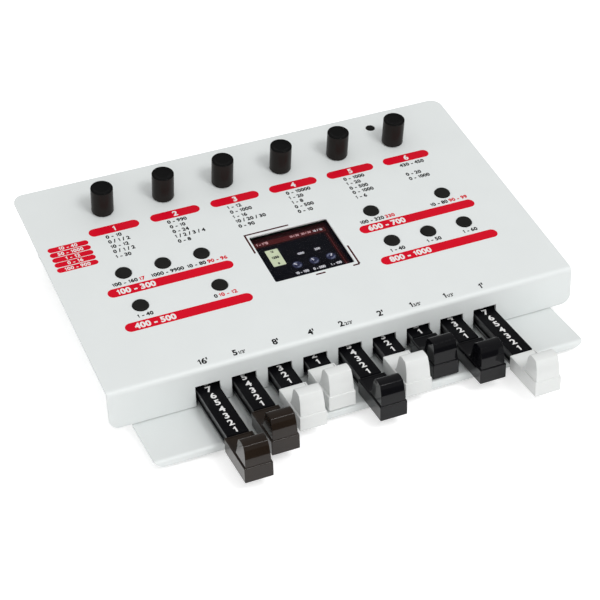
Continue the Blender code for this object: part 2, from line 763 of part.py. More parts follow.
def is_brow(edge):
    """Whether an edge of the hump runs along one of its two sides, above the block."""
    if min(vertex.co.z for vertex in edge.verts) < BLOCK_HEIGHT + 1e-5 or len(edge.link_faces) != 2:
        return False
    leans = sorted(abs(face.normal.x) for face in edge.link_faces)
    return leans[0] < 0.5 and leans[1] > 0.9


def drawbar_mesh():
    """A drawbar with its grooved flanks, the tongue that holds the knob and the lever at its tail.
    Its front shoulder is at y = 0 and its underside at z = 0."""
    half, web = BAR_WIDTH / 2, BAR_WIDTH / 2 - BAR_GROOVE_DEPTH
    low = (BAR_HEIGHT - BAR_GROOVE_HEIGHT) / 2
    high = BAR_HEIGHT - low
    right = [(half, 0), (half, low), (web, low), (web, high), (half, high), (half, BAR_HEIGHT)]
    section = right + [(-x, z) for x, z in reversed(right)]
    length = BAR_TAIL - SEAT
    bar = moved(upright([section], length), at(0, SEAT + length / 2, 0))
    tongue_z = TONGUE_RISE + KNOB_LIFT - BAR_LIFT + TONGUE_HEIGHT / 2
    overlap = 0.002
    tongue = block(
        (TONGUE_WIDTH, TONGUE_LENGTH + overlap, TONGUE_HEIGHT),
        (0, (overlap - TONGUE_LENGTH) / 2, tongue_z),
        BLOCK_EDGE,
    )
    lever = block(
        (LEVER_THICKNESS, LEVER_LENGTH, LEVER_RISE + overlap),
        (0, BAR_TAIL - LEVER_INSET, BAR_HEIGHT + (LEVER_RISE - overlap) / 2),
    )
    return joined([bar, tongue, lever])


def drawbars():
    """Nine drawbars with their knobs, each on its own slide axis along Y."""
    bar_mesh, knob_mesh = drawbar_mesh(), drawbar_knob_mesh()
    for number, (setting, colour) in enumerate(zip(SETTINGS, KNOB_COLOURS), start=1):
        x = bar_x(number - 1)
        front = FLANGE_Y - KNOB_REACH_IN - setting * STOP_PITCH
        slide = bpy.data.objects.new(f"drawbar_{number}_axis", None)
        parts.objects.link(slide)
        slide.location = (x, front, SHELF_Z)
        bar_place = at(0, KNOB_LENGTH, BAR_LIFT)
        piece(f"drawbar_{number}", bar_mesh.copy(), black_plastic, bar_place, slide)
        knob_place = at(0, 0, KNOB_LIFT)
        piece(f"drawbar_knob_{number}", knob_mesh.copy(), knob_plastics[colour], knob_place, slide)


def drawbar_guide():
    """Two upright combs on one floor, with a window round each drawbar in both."""
    low, top = SHELF_Z + SEAT, DRAWBAR_BOARD_Z - SEAT
    outline = rectangle((0, (low + top) / 2), GUIDE_WIDTH, top - low)
    size = (BAR_WIDTH + 2 * SEAT, BAR_HEIGHT + 2 * SEAT)
    windows = [rectangle((bar_x(k), BAR_Z + BAR_HEIGHT / 2), *size) for k in range(BAR_COUNT)]
    comb = upright([outline] + windows, GUIDE_WALL)
    combs = copied(comb, [at(0, GUIDE_Y + GUIDE_WALL / 2 + k * GUIDE_SPACING, 0) for k in (0, 1)])
    middle, rise = GUIDE_Y + (GUIDE_WALL + GUIDE_SPACING) / 2, 0.0002
    thickness = BAR_LIFT - 3 * SEAT
    floor_size = (GUIDE_WIDTH - 2 * rise, GUIDE_SPACING, thickness)
    sole = block(floor_size, (0, middle, low + rise + thickness / 2))
    radius = BOARD_HOLE / 2
    bore = turned([(0, 0.005), (radius, 0.005), (radius, -0.005), (0, -0.005)], SMALL_ROUND)
    bores = copied(bore, [at(x, y, low) for x, y in guide_pin_places()])
    mesh = combined(joined(combs + [sole]), [grouped(bores)], "DIFFERENCE")
    return piece("drawbar_guide", mesh, black_plastic)


def slide_potentiometers():
    """Nine slide potentiometers over the drawbars' tails, each with a slot along its underside."""
    length, root = TRAVEL + 2 * SLIDER_END, SEAT + SOLDER
    middle = FLANGE_Y + LEVER_IN - TRAVEL / 2
    height = SLIDER_HEIGHT + root
    body = block((SLIDER_WIDTH, length, height), (0, 0, height / 2))
    slot_length = TRAVEL + LEVER_LENGTH + 2 * SLIDER_SLOT_END
    slot_depth = LEVER_RISE - SLIDER_GAP + SLIDER_SLOT_END
    slot = block((SLIDER_SLOT, slot_length, 2 * slot_depth), (0, 0, 0))
    mesh = combined(body, [slot], "DIFFERENCE")
    return copied(mesh, [at(bar_x(k), middle, SLIDER_Z) for k in range(BAR_COUNT)])


def drawbar_board():
    """The board over the drawbars' tails, with the slide potentiometers soldered under it."""
    middle = (FLANGE_Y + DRAWBAR_BOARD_FRONT + DRAWBAR_BOARD_BACK) / 2
    outline = rectangle((0, middle), GUIDE_WIDTH, DRAWBAR_BOARD_LENGTH)
    holes = [circle(place, BOARD_HOLE, SMALL_ROUND) for place in tall_post_places()]
    mesh = joined([blank([outline] + holes, BOARD, DRAWBAR_BOARD_Z)] + slide_potentiometers())
    return piece("drawbar_board", mesh, green_board)


def main_board():
    outline = rectangle((0, MAIN_BOARD_Y + MAIN_BOARD_LENGTH / 2), 2 * MAIN_BOARD_HALF, MAIN_BOARD_LENGTH)
    holes = [circle(place, BOARD_HOLE, SMALL_ROUND) for place in main_post_places()]
    return piece("main_board", blank([outline] + holes, BOARD, MAIN_BOARD_Z), green_board)


def panel_board():
    """The board under the panel, with the encoders and the switches soldered on it."""
    middle = (PANEL_BOARD_FRONT + PANEL_BOARD_BACK) / 2
    outline = rectangle((0, middle), 2 * PANEL_BOARD_HALF, PANEL_BOARD_BACK - PANEL_BOARD_FRONT)
    holes = [circle(place, BOARD_HOLE, SMALL_ROUND) for place in panel_post_places()]
    plate = blank([outline] + holes, BOARD, BOARD_TOP - BOARD)
    mesh = joined([plate] + encoder_bodies() + button_switches())
    return piece("panel_board", mesh, green_board, parent=panel)


def encoder_bodies():
    """The encoders' housings, each with a bush up through the panel and a well for the shaft."""
    outer, bore = BUSH_DIAMETER / 2, SHAFT_DIAMETER / 2 + HOLE_CLEARANCE
    low, root = BOARD_TOP - SOLDER, UNDERSIDE - ENCODER_LID
    body = block((ENCODER_BODY, ENCODER_BODY, UNDERSIDE - low), (0, 0, (UNDERSIDE + low) / 2))
    bush = turned([(0, BUSH_HEIGHT), (outer, BUSH_HEIGHT), (outer, root), (0, root)])
    end, over = BUSH_HEIGHT - SHAFT_DEPTH - SHAFT_END_GAP, BUSH_HEIGHT + OVERCUT
    well = turned([(0, over), (bore, over), (bore, end), (0, end)])
    mesh = combined(joined([body, bush]), [well], "DIFFERENCE")
    return copied(mesh, [at(encoder_x(k), ENCODER_ROW, 0) for k in range(ENCODERS)])


def encoder_knobs():
    """Six endless knobs, each with its shaft down the encoder's bush, turning about its own Z."""
    radius, top = ROTARY_DIAMETER / 2, ROTARY_GAP + ROTARY_HEIGHT
    shaft, recess = SHAFT_DIAMETER / 2, BUSH_DIAMETER / 2 + 2 * HOLE_CLEARANCE
    ceiling = max(ROTARY_GAP + ROTARY_RECESS, BUSH_HEIGHT + HOLE_CLEARANCE)
    profile = [
        (0, top - ROTARY_DISH),
        (radius * 0.62, top - ROTARY_DISH),
        (radius * 0.78, top),
        (radius - ROTARY_EDGE, top),
        (radius, top - ROTARY_EDGE),
        (radius, ROTARY_GAP),
        (recess, ROTARY_GAP),
        (recess, ceiling),
        (shaft, ceiling),
        (shaft, BUSH_HEIGHT - SHAFT_DEPTH),
        (0, BUSH_HEIGHT - SHAFT_DEPTH),
    ]
    mesh = turned(profile, KNOB_ROUND)
    for number in range(ENCODERS):
        place = at(encoder_x(number), ENCODER_ROW, 0)
        piece(f"encoder_knob_{number + 1}", mesh.copy(), black_plastic, place, panel)


def push_buttons():
    """Ten buttons, each a cap with a collar under the panel and a stem in its switch."""
    radius, collar, stem = BUTTON_DIAMETER / 2, BUTTON_FLANGE / 2, STEM_DIAMETER / 2
    low = UNDERSIDE - BUTTON_FLANGE_HEIGHT
    switch_top = BOARD_TOP + SWITCH_HEIGHT
    stem_end = switch_top - SWITCH_WELL + BUTTON_TRAVEL + HOLE_CLEARANCE
    profile = [
        (0, BUTTON_PROUD),
        (radius - BUTTON_EDGE, BUTTON_PROUD - BUTTON_EDGE / 4),
        (radius, BUTTON_PROUD - BUTTON_EDGE),
        (radius, UNDERSIDE),
        (collar, UNDERSIDE),
        (collar, low),
        (stem, low),
        (stem, stem_end),
        (0, stem_end),
    ]
    mesh = turned(profile)
    for number, (x, row) in enumerate(button_places(), start=1):
        piece(f"button_{number}", mesh.copy(), black_plastic, at(x, row, 0), panel)


def button_switches():
    """Square switches, each with a well for its button's stem."""
    low, top = BOARD_TOP - SOLDER, BOARD_TOP + SWITCH_HEIGHT
    body = block((SWITCH_SIZE, SWITCH_SIZE, top - low), (0, 0, (top + low) / 2))
    bore, end = STEM_DIAMETER / 2 + HOLE_CLEARANCE, top - SWITCH_WELL
    well = turned([(0, top + OVERCUT), (bore, top + OVERCUT), (bore, end), (0, end)], SMALL_ROUND)
    mesh = combined(body, [well], "DIFFERENCE")
    return copied(mesh, [at(x, row, 0) for x, row in button_places()])


def display_window():
    """The clear window, flush with the panel, with a flange behind the opening's edge."""
    gap, lip = 2 * HOLE_CLEARANCE, 2 * WINDOW_MARGIN
    corner = WINDOW_CORNER
    face = rectangle((0, WINDOW_ROW), WINDOW_WIDTH - gap, WINDOW_HEIGHT - gap, corner - gap / 4)
    flange = rectangle((0, WINDOW_ROW), WINDOW_WIDTH + lip, WINDOW_HEIGHT + lip, WINDOW_MARGIN)
    rear = UNDERSIDE - WINDOW_FLANGE
    front = blank([face], -rear - 0.0003, rear + 0.0002)
    mesh = combined(blank([flange], WINDOW_FLANGE, rear), [front], "UNION")
    return piece("display_window", mesh, clear_window, parent=panel)


def display_module():
    """The display between its window and the board."""
    top = UNDERSIDE - WINDOW_FLANGE - SEAT
    height = top - BOARD_TOP - SEAT
    size = (WINDOW_WIDTH + WINDOW_MARGIN, WINDOW_HEIGHT + WINDOW_MARGIN, height)
    mesh = block(size, (0, WINDOW_ROW, top - height / 2), BLOCK_EDGE)
    return piece("display_module", mesh, screen_glass, parent=panel)


def status_lens():
    """The round dark lens behind the last knob, with a collar under the panel."""
    radius, collar = LENS_DIAMETER / 2, LENS_FLANGE / 2
    profile = [
        (0, LENS_PROUD),
        (radius * 0.75, LENS_PROUD - 0.0001),
        (radius, 0),
        (radius, UNDERSIDE),
        (collar, UNDERSIDE),
        (collar, BOARD_TOP + SEAT),
        (0, BOARD_TOP + SEAT),
    ]
    mesh = turned(profile)
    return piece("status_lens", mesh, dark_lens, at(LENS_X, LENS_ROW, 0), panel)


def case_screws():
    """Two screws a side, from outside through the walls into the rails."""
    head, shank = COVER_SCREW_HEAD / 2, COVER_SCREW_SHANK / 2
    high = COVER_SCREW_HEAD_HEIGHT
    profile = [(0, high), (head * 0.65, high), (head, high * 0.5), (head, 0), (shank, 0)]
    profile += [(shank, -COVER_SCREW_LENGTH), (0, -COVER_SCREW_LENGTH)]
    mesh = turned(profile, SMALL_ROUND)
    places = [(sign, row) for sign in (-1, 1) for row in COVER_SCREWS]
    for number, (sign, row) in enumerate(places, start=1):
        turn = Matrix.Rotation(sign * math.pi / 2, 4, "Y")
        place = at(sign * (WALL_X + SEAT), row, -COVER_SCREW_DEPTH) @ turn
        piece(f"case_screw_{number}", mesh.copy(), bright_steel, place, panel)


def socket_place(x):
    """Middle of a socket on the rear wall's outer skin, with the socket's own Z pointing out."""
    return at(x, REAR_Y, SOCKET_Z) @ Matrix.Rotation(-math.pi / 2, 4, "X")


def socket_body(size, back=SHEET + SEAT, rise=0.0):
    """A socket's housing behind the rear wall, standing on the main board. Z points out of the wall."""
    width, depth, height = size
    low = -SOCKET_CENTRE + rise
    return block((width, height, depth), (0, -low - height / 2, -back - depth / 2))


def plug_bore(diameter, depth, proud=OVERCUT, steps=ROUND):
    radius = diameter / 2
    return turned([(0, proud), (radius, proud), (radius, -depth), (0, -depth)], steps)


def power_inlet():
    """The barrel socket: a ring-shaped well round its centre pin."""
    body = socket_body(POWER_BODY)
    barrel = plug_bore(POWER_BARREL, SHEET + SEAT + OVERCUT, 0)
    bore, pin = POWER_BORE / 2, POWER_PIN / 2
    well = [(pin, OVERCUT), (bore, OVERCUT), (bore, -POWER_DEPTH), (pin, -POWER_DEPTH)]
    width, high = bore * 0.9, 1.5 * OVERCUT
    above_pin = [(0, high), (width, high), (width, -POWER_PIN_SET), (0, -POWER_PIN_SET)]
    mesh = combined(body, [barrel], "UNION")
    mesh = combined(mesh, [turned(well), turned(above_pin)], "DIFFERENCE")
    return piece("power_inlet", mesh, black_plastic, socket_place(POWER_X))


def usb_socket():
    """The square data socket in its metal shell, with the tongue set well back."""
    body = socket_body(USB_BODY, back=0.0, rise=SOCKET_CENTRE - USB_BODY[2] / 2)
    width, height = USB_MOUTH
    front_well = block((width, height, 2 * USB_TONGUE_SET), (0, 0, 0))
    mouth, tongue = rectangle((0, 0), width, height), rectangle((0, 0), *USB_TONGUE)
    ring = blank([mouth, tongue], USB_DEPTH, -USB_DEPTH)
    mesh = combined(combined(body, [front_well], "DIFFERENCE"), [ring], "DIFFERENCE")
    rise = SOCKET_CENTRE - USB_BODY[2] / 2 + OVERCUT
    leg_size = (USB_BODY[0] * 0.8, rise, USB_BODY[1] * 0.6)
    leg = block(leg_size, (0, SOCKET_CENTRE - rise / 2, -USB_BODY[1] * 0.6))
    return piece("usb_socket", combined(mesh, [leg], "UNION"), bright_steel, socket_place(USB_X))


def din_sockets():
    """Two round five-pin sockets: a grooved face with five pin holes on half a circle."""
    body = socket_body(DIN_BODY)
    nose = plug_bore(DIN_NOSE, SHEET + SEAT + OVERCUT, 0)
    inner, outer = DIN_GROOVE[0] / 2, DIN_GROOVE[1] / 2
    floor = -DIN_GROOVE_DEPTH
    groove = turned([(inner, OVERCUT), (outer, OVERCUT), (outer, floor), (inner, floor)])
    mesh = combined(joined([body, nose]), [groove], "DIFFERENCE")
    hole, reach = plug_bore(DIN_PIN_HOLE, DIN_GROOVE_DEPTH, steps=6), DIN_PIN_CIRCLE / 2
    turns = [math.pi * k / (DIN_PINS - 1) for k in range(DIN_PINS)]
    pins = copied(hole, [at(reach * math.cos(turn), -reach * math.sin(turn), 0) for turn in turns])
    mesh = combined(mesh, [grouped(pins)], "DIFFERENCE")
    for number, x in enumerate(DIN_XS, start=1):
        piece(f"din_socket_{number}", mesh.copy(), black_plastic, socket_place(x))


def jack_xs():
    return [(JACK_FIRST_AT - JACK_STEP * k) * WALL_X for k in range(JACK_COUNT)]


def audio_jacks():
    """Jack sockets, each a housing on the board, a bush through the wall and the nut on it."""
    rise = SOCKET_CENTRE - JACK_BODY[2] / 2
    body = socket_body(JACK_BODY, rise=rise)
    leg_size = (JACK_BODY[0] * 0.7, rise + OVERCUT, JACK_BODY[1] * 0.8)
    leg = block(leg_size, (0, SOCKET_CENTRE - leg_size[1] / 2, -SHEET - SEAT - JACK_BODY[1] / 2))
    bush_length = JACK_PROUD + SHEET + SEAT + OVERCUT
    bush = moved(plug_bore(JACK_BUSH, bush_length, 0), at(0, 0, JACK_PROUD))
    corners = circle((0, 0), JACK_NUT / math.cos(math.pi / 6), 6)
    nut = blank([corners], JACK_NUT_HEIGHT, SEAT)
    bore = plug_bore(JACK_BORE, JACK_BODY[1] - JACK_BORE_END, JACK_PROUD + OVERCUT)
    mesh = combined(joined([body, bush, leg, nut]), [bore], "DIFFERENCE")
    for number, x in enumerate(jack_xs(), start=1):
        piece(f"audio_jack_{number}", mesh.copy(), black_plastic, socket_place(x))


def ribbon(route, width):
    """A flat strip along a route in Y and Z."""
    left, right = [], []
    for k, (y, z) in enumerate(route):
        before, after = route[max(k - 1, 0)], route[min(k + 1, len(route) - 1)]
        along = Vector((after[0] - before[0], after[1] - before[1])).normalized()
        left.append((y - along.y * RIBBON / 2, z + along.x * RIBBON / 2))
        right.append((y + along.y * RIBBON / 2, z - along.x * RIBBON / 2))
    return sideways([left + right[::-1]], width)


def smooth_route(stops):
    """Points from stop to stop along S-shaped runs that are level at each stop."""
    steps = 9
    yield stops[0]
    for (y, z), (next_y, next_z) in zip(stops, stops[1:]):
        for k in range(1, steps + 1):
            share = k / steps
            ease = share * share * (3 - 2 * share)
            yield (y + (next_y - y) * share, z + (next_z - z) * ease)


def flat_cable():
    """The flat cable through its three plugs: on the drawbars' board, under the panel's board and on
    the main board."""
    width = RIBBON_WIDTH + 2 * PLUG_MARGIN
    plug = block((width, PLUG_LENGTH, PLUG_HEIGHT), (0, 0, PLUG_HEIGHT / 2), BLOCK_EDGE)
    hanging = Matrix.Rotation(math.pi, 4, "X")
    places = [
        at(RIBBON_X, DRAWBAR_BOARD_BACK - DRAWBAR_PLUG_BACK, DRAWBAR_BOARD_Z + BOARD + SEAT),
        panel.matrix_world @ at(RIBBON_X, PANEL_PLUG_ROW, BOARD_TOP - BOARD - SEAT) @ hanging,
        at(RIBBON_X, MAIN_BOARD_Y + MAIN_PLUG_FRONT, MAIN_BOARD_TOP + SEAT),
    ]
    middles = [place @ Vector((0, 0, PLUG_HEIGHT / 2)) for place in places]
    strip = ribbon(list(smooth_route([(middle.y, middle.z) for middle in middles])), RIBBON_WIDTH)
    mesh = joined([moved(strip, at(RIBBON_X, 0, 0))] + copied(plug, places))
    return piece("flat_cable", mesh, grey_cable)


clear_scene()
parts = new_collection(MODULE)
cutters = new_collection("cutters")

white_steel = material("white_steel", (0.72, 0.75, 0.75), 0.45)
black_plastic = material("black_plastic", (0.012, 0.012, 0.013), 0.4)
knob_plastics = {
    "brown": material("brown_plastic", (0.045, 0.030, 0.022), 0.3),
    "white": material("white_plastic", (0.78, 0.80, 0.78), 0.3),
    "black": material("knob_black_plastic", (0.014, 0.014, 0.016), 0.28),
}
black_rubber = material("black_rubber", (0.02, 0.02, 0.02), 0.8)
bright_steel = material("bright_steel", (0.62, 0.62, 0.62), 0.3, 1.0)
green_board = material("green_board", (0.02, 0.14, 0.05), 0.5)
clear_window = material("clear_window", (0.05, 0.05, 0.06), 0.08)
screen_glass = material("screen_glass", (0.02, 0.02, 0.03), 0.2)
dark_lens = material("dark_lens", (0.015, 0.012, 0.014), 0.15)
grey_cable = material("grey_cable", (0.35, 0.35, 0.36), 0.6)

panel = bpy.data.objects.new("panel_plane", None)
parts.objects.link(panel)
panel.location = (0, FLANGE_Y, BEND_Z)
panel.rotation_euler = (TILT, 0, 0)
bpy.context.view_layer.update()

top_cover()
base_tray()
case_screws()
feet()
drawbars()
drawbar_guide()
drawbar_board()
main_board()
panel_board()
encoder_knobs()
push_buttons()
display_window()
display_module()
status_lens()
power_inlet()
usb_socket()
din_sockets()
audio_jacks()
flat_cable()
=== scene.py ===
# %% [markdown]
# # A desktop organ sound module
#
# The module is a folded steel case with nine drawbars in front, six endless knobs at the back of its
# sloping panel, ten keys and a small display. Its solids come packed, with their joints. This lesson
# dresses them: each step says what a piece is on the real object, how Blender could make it, and why
# one way was chosen. Everything is in metres, +Z is up and the player sits towards -Y.

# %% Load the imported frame
import json
import math
import re

import bmesh
import bpy
from mathutils import Matrix, Vector

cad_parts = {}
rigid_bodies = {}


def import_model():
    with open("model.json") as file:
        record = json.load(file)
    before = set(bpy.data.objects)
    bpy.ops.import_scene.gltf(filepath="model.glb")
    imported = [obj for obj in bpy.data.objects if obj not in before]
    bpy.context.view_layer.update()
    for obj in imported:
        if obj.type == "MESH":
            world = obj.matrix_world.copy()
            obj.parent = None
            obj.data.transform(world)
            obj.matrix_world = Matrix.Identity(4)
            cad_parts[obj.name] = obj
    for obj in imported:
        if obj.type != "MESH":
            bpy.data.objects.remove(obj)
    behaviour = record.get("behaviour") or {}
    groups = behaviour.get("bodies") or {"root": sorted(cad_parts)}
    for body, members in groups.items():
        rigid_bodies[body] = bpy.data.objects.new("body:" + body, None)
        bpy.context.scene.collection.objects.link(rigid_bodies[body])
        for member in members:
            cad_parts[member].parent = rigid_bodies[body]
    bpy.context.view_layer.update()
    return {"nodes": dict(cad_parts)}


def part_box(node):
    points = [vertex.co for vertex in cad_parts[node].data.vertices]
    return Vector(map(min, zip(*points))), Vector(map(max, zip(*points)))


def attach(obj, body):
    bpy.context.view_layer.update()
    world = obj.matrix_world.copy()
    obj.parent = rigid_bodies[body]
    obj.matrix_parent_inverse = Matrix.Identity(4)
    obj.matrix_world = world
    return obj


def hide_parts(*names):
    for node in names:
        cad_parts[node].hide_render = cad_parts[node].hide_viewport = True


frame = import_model()

# %% [markdown]
# ## Where things are
#
# The panel is a plane that leans back by 9.7 degrees from the fold over the front flange. Nearly
# every piece belongs to it, so one matrix carries a drawing in panel coordinates (across, up the
# slope, out of the skin) to its place. The flange's place is read from the frame.

# %% Sizes of the case and the panel's plane
SHEET = 0.0015
SEAT = 0.0003
HOLE_GAP = 0.0003
TILT = math.radians(9.7)
PANEL_WIDTH, PANEL_LENGTH = 0.2686, 0.1664
FLANGE_HEIGHT = 0.021
SHELF_WIDTH = 0.245
BASE_DEPTH = 0.180
FLANGE_Y, FLANGE_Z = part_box("top_cover")[0].y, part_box("top_cover")[0].z
BEND_Z = FLANGE_Z + FLANGE_HEIGHT
BASE_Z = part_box("foot_1")[1].z + SEAT
SHELF_Z = BASE_Z + SHEET
REAR_Y = FLANGE_Y + BASE_DEPTH
WALL_X = SHELF_WIDTH / 2 - 0.0018
PANEL = Matrix.Translation((0, FLANGE_Y, BEND_Z)) @ Matrix.Rotation(TILT, 4, "X")
print("flange at y %.4f, panel's fold at z %.4f" % (FLANGE_Y, BEND_Z))

# %% [markdown]
# ## The camera
#
# The photograph was taken from the player's left, well above the panel, with a long lens. A camera
# object takes a matrix whose columns are its right, its up and the way it faces away from. The
# focal length is given for a sensor 36 mm wide and a square picture.

# %% Camera at the photograph's angle
CAMERA_PLACE = Vector((-0.31239, FLANGE_Y - 0.69585, FLANGE_Z + 0.55147))
CAMERA_AIM = Vector((0.31448388, 0.76864995, -0.55702527)).normalized()
CAMERA_ROLL = math.radians(-1.9934)
FOCAL_LENGTH = 106.076


def aimed(place, forward, roll):
    level = forward.cross(Vector((0, 0, 1))).normalized()
    above = level.cross(forward)
    right = math.cos(roll) * level + math.sin(roll) * above
    up = right.cross(forward)
    turn = Matrix((right, up, -forward)).transposed().to_4x4()
    return Matrix.Translation(place) @ turn


camera = bpy.data.objects.new("camera", bpy.data.cameras.new("camera"))
bpy.context.scene.collection.objects.link(camera)
camera.matrix_world = aimed(CAMERA_PLACE, CAMERA_AIM, CAMERA_ROLL)
camera.data.lens = FOCAL_LENGTH
camera.data.sensor_width = 36.0
camera.data.clip_start, camera.data.clip_end = 0.05, 20.0
bpy.context.scene.camera = camera
print("camera", [round(v, 3) for v in camera.location])

# %% [markdown]
# ## Tools of the workshop
#
# A mesh can be drawn by hand, but sheet metal and turned parts follow rules, so a few small
# functions draw them. Outlines are lists of points, a plate is an outline given a thickness, and a
# turned part is a profile swept by the Screw modifier. Exact Booleans cut and join closed shapes.

# %% Outlines
def arc(centre, radius, start_deg, end_deg, steps):
    for k in range(steps + 1):
        turn = math.radians(start_deg + (end_deg - start_deg) * k / steps)
        yield (centre[0] + radius * math.cos(turn), centre[1] + radius * math.sin(turn))


def clear(size):
    """A hole's size round a part of that size."""
    return size + 2 * HOLE_GAP


def circle(centre, diameter, steps=48):
    return list(arc(centre, diameter / 2, 0, 360, steps))[:-1]


def rectangle(centre, width, height, corner=0.0, steps=6):
    x, y = width / 2 - corner, height / 2 - corner
    if not corner:
        return [(centre[0] + a * x, centre[1] + b * y) for a, b in ((1, 1), (-1, 1), (-1, -1), (1, -1))]
    quarters = ((x, y, 0), (-x, y, 90), (-x, -y, 180), (x, -y, 270))
    outline = []
    for a, b, turn in quarters:
        outline += arc((centre[0] + a, centre[1] + b), corner, turn, turn + 90, steps)
    return outline


# %% Changing a mesh, and taking a helper object's final mesh
def edit(mesh, change):
    """Runs one change on a mesh, and points its faces outwards."""
    body = bmesh.new()
    body.from_mesh(mesh)
    change(body)
    bmesh.ops.recalc_face_normals(body, faces=body.faces)
    body.to_mesh(mesh)
    body.free()
    return mesh


def helper(mesh, name="helper"):
    made = bpy.data.objects.new(name, mesh)
    bpy.context.scene.collection.objects.link(made)
    return made


def settled(shape):
    """A helper's mesh as its modifiers leave it. The helper goes."""
    bpy.context.view_layer.update()
    graph = bpy.context.evaluated_depsgraph_get()
    mesh = bpy.data.meshes.new_from_object(shape.evaluated_get(graph))
    bpy.data.objects.remove(shape)
    return edit(mesh, lambda body: bmesh.ops.remove_doubles(body, verts=body.verts, dist=1e-6))


def moved(mesh, matrix):
    mesh.transform(matrix)
    return mesh


def placed(master, matrix):
    """A copy of a mesh at a place."""
    return moved(master.copy(), matrix)


def span(mesh, axis):
    """The lowest and the highest coordinate along an axis."""
    along = [vertex.co[axis] for vertex in mesh.vertices]
    return min(along), max(along)


def at(x, y, z=0.0):
    return Matrix.Translation((x, y, z))


def grouped(meshes):
    """Separate shapes in one mesh."""
    group = bmesh.new()
    for mesh in meshes:
        group.from_mesh(mesh)
    made = bpy.data.meshes.new("group")
    group.to_mesh(made)
    group.free()
    return made


# %% Cutting and joining
def combined(mesh, others, operation):
    shape = helper(mesh)
    tools = [helper(other) for other in others]
    for tool in tools:
        boolean = shape.modifiers.new("boolean", "BOOLEAN")
        boolean.operation, boolean.solver, boolean.object = operation, "EXACT", tool
    made = settled(shape)
    for tool in tools:
        bpy.data.objects.remove(tool)
    return made


def cut(mesh, *others):
    return combined(mesh, others, "DIFFERENCE")


def joined(mesh, *others):
    return combined(mesh, others, "UNION")


# %% Plates, blocks and turned parts
def plate(outline, thickness, bottom=0.0):
    mesh = bpy.data.meshes.new("plate")

    def make(body):
        corners = [body.verts.new((x, y, bottom)) for x, y in outline]
        loop = [body.edges.new(pair) for pair in zip(corners, corners[1:] + corners[:1])]
        face = bmesh.ops.contextual_create(body, geom=loop)["faces"]
        top = bmesh.ops.extrude_face_region(body, geom=face)["geom"]
        raised = [item for item in top if isinstance(item, bmesh.types.BMVert)]
        bmesh.ops.translate(body, vec=(0, 0, thickness), verts=raised)

    return edit(mesh, make)


def pierced(outline, holes, thickness, bottom=0.0):
    cutters = [plate(hole, 3 * thickness, bottom - thickness) for hole in holes]
    return cut(plate(outline, thickness, bottom), grouped(cutters))


def block(size, centre=(0, 0, 0)):
    mesh = bpy.data.meshes.new("block")

    def make(body):
        bmesh.ops.create_cube(body, size=1.0)
        bmesh.ops.scale(body, vec=size, verts=body.verts)
        bmesh.ops.translate(body, vec=centre, verts=body.verts)

    return edit(mesh, make)


def turned(profile, steps=64):
    """A solid of revolution about Z from (radius, height) points."""
    mesh = bpy.data.meshes.new("profile")
    edges = [(k, k + 1) for k in range(len(profile) - 1)]
    if profile[0][0] > 0:
        edges.append((len(profile) - 1, 0))
    mesh.from_pydata([(r, 0, z) for r, z in profile], edges, [])
    shape = helper(mesh)
    screw = shape.modifiers.new("turn", "SCREW")
    screw.steps = screw.render_steps = steps
    screw.use_merge_vertices, screw.merge_threshold = True, 1e-6
    return settled(shape)


def tube(inner, outer, top, bottom, steps=48):
    return turned([(inner, top), (outer, top), (outer, bottom), (inner, bottom)], steps)


# %% Rounding the sharp edges of a mesh
def eased(mesh, width, segments=2, angle=35):
    shape = helper(mesh)
    bevel = shape.modifiers.new("edges", "BEVEL")
    bevel.width, bevel.segments = width, segments
    bevel.limit_method, bevel.angle_limit = "ANGLE", math.radians(angle)
    return settled(shape)


def upright(mesh):
    """Stands a plate drawn in X and Z across Y, with its drawn top towards the player."""
    return moved(mesh, Matrix.Rotation(math.pi / 2, 4, "X"))


def sideways(mesh):
    """Stands a plate drawn in Y and Z across X."""
    return moved(mesh, Matrix(((0, 0, 1), (1, 0, 0), (0, 1, 0))).to_4x4())


# %% [markdown]
# A fold bends the part of a flat plate that lies past a line. Blender's Simple Deform could do it,
# but a few lines of arithmetic keep the outer radius exact: each point past the line moves round
# the bend by its distance, and what lies beyond the bend goes straight on.

# %% Folding sheet metal
FOLD_STEPS = 12


def fold(mesh, axis, sign, start, radius, angle, up, skin=0.0, where=lambda point: True):
    length = radius * angle
    across = Vector((0, 0, 0))
    across[axis] = sign

    def bend(body):
        for k in range(FOLD_STEPS + 1):
            everything = body.verts[:] + body.edges[:] + body.faces[:]
            line = across * (start + length * k / FOLD_STEPS)
            bmesh.ops.bisect_plane(body, geom=everything, dist=1e-7, plane_co=line, plane_no=across)
        for vertex in body.verts:
            past = sign * vertex.co[axis] - start
            if past <= 1e-7 or not where(vertex.co):
                continue
            turn = min(past / radius, angle)
            straight = past - turn * radius
            ring = radius - up * (vertex.co.z - skin)
            vertex.co[axis] = sign * (start + ring * math.sin(turn) + straight * math.cos(turn))
            vertex.co.z = skin + up * (radius - ring * math.cos(turn) + straight * math.sin(turn))

    return edit(mesh, bend)


# %% [markdown]
# ## Finishes
#
# Materials and node trees are both made of nodes, so two small functions make one and feed it.
# Every finish is a Principled shader with its own colour and gloss, and a fine relief from noise in
# Object coordinates, in metres, so that grain has its real size on every piece. Powder coat dries
# to a faint orange peel about a millimetre across, and moulded plastic keeps the spark-eroded
# grain of its tool. Uniform numbers sit on the shader's own sockets, which is what exporters read.

# %% Making nodes
def feed(tree, entry, value):
    """Links a socket to a node's input, or sets a plain value there."""
    if isinstance(value, bpy.types.NodeSocket):
        tree.links.new(value, entry)
    else:
        entry.default_value = value


def node(tree, kind, **inputs):
    """A node with its inputs fed. A name's underscores stand for spaces."""
    made = tree.nodes.new(kind)
    for label, value in inputs.items():
        feed(tree, made.inputs[label.replace("_", " ")], value)
    return made


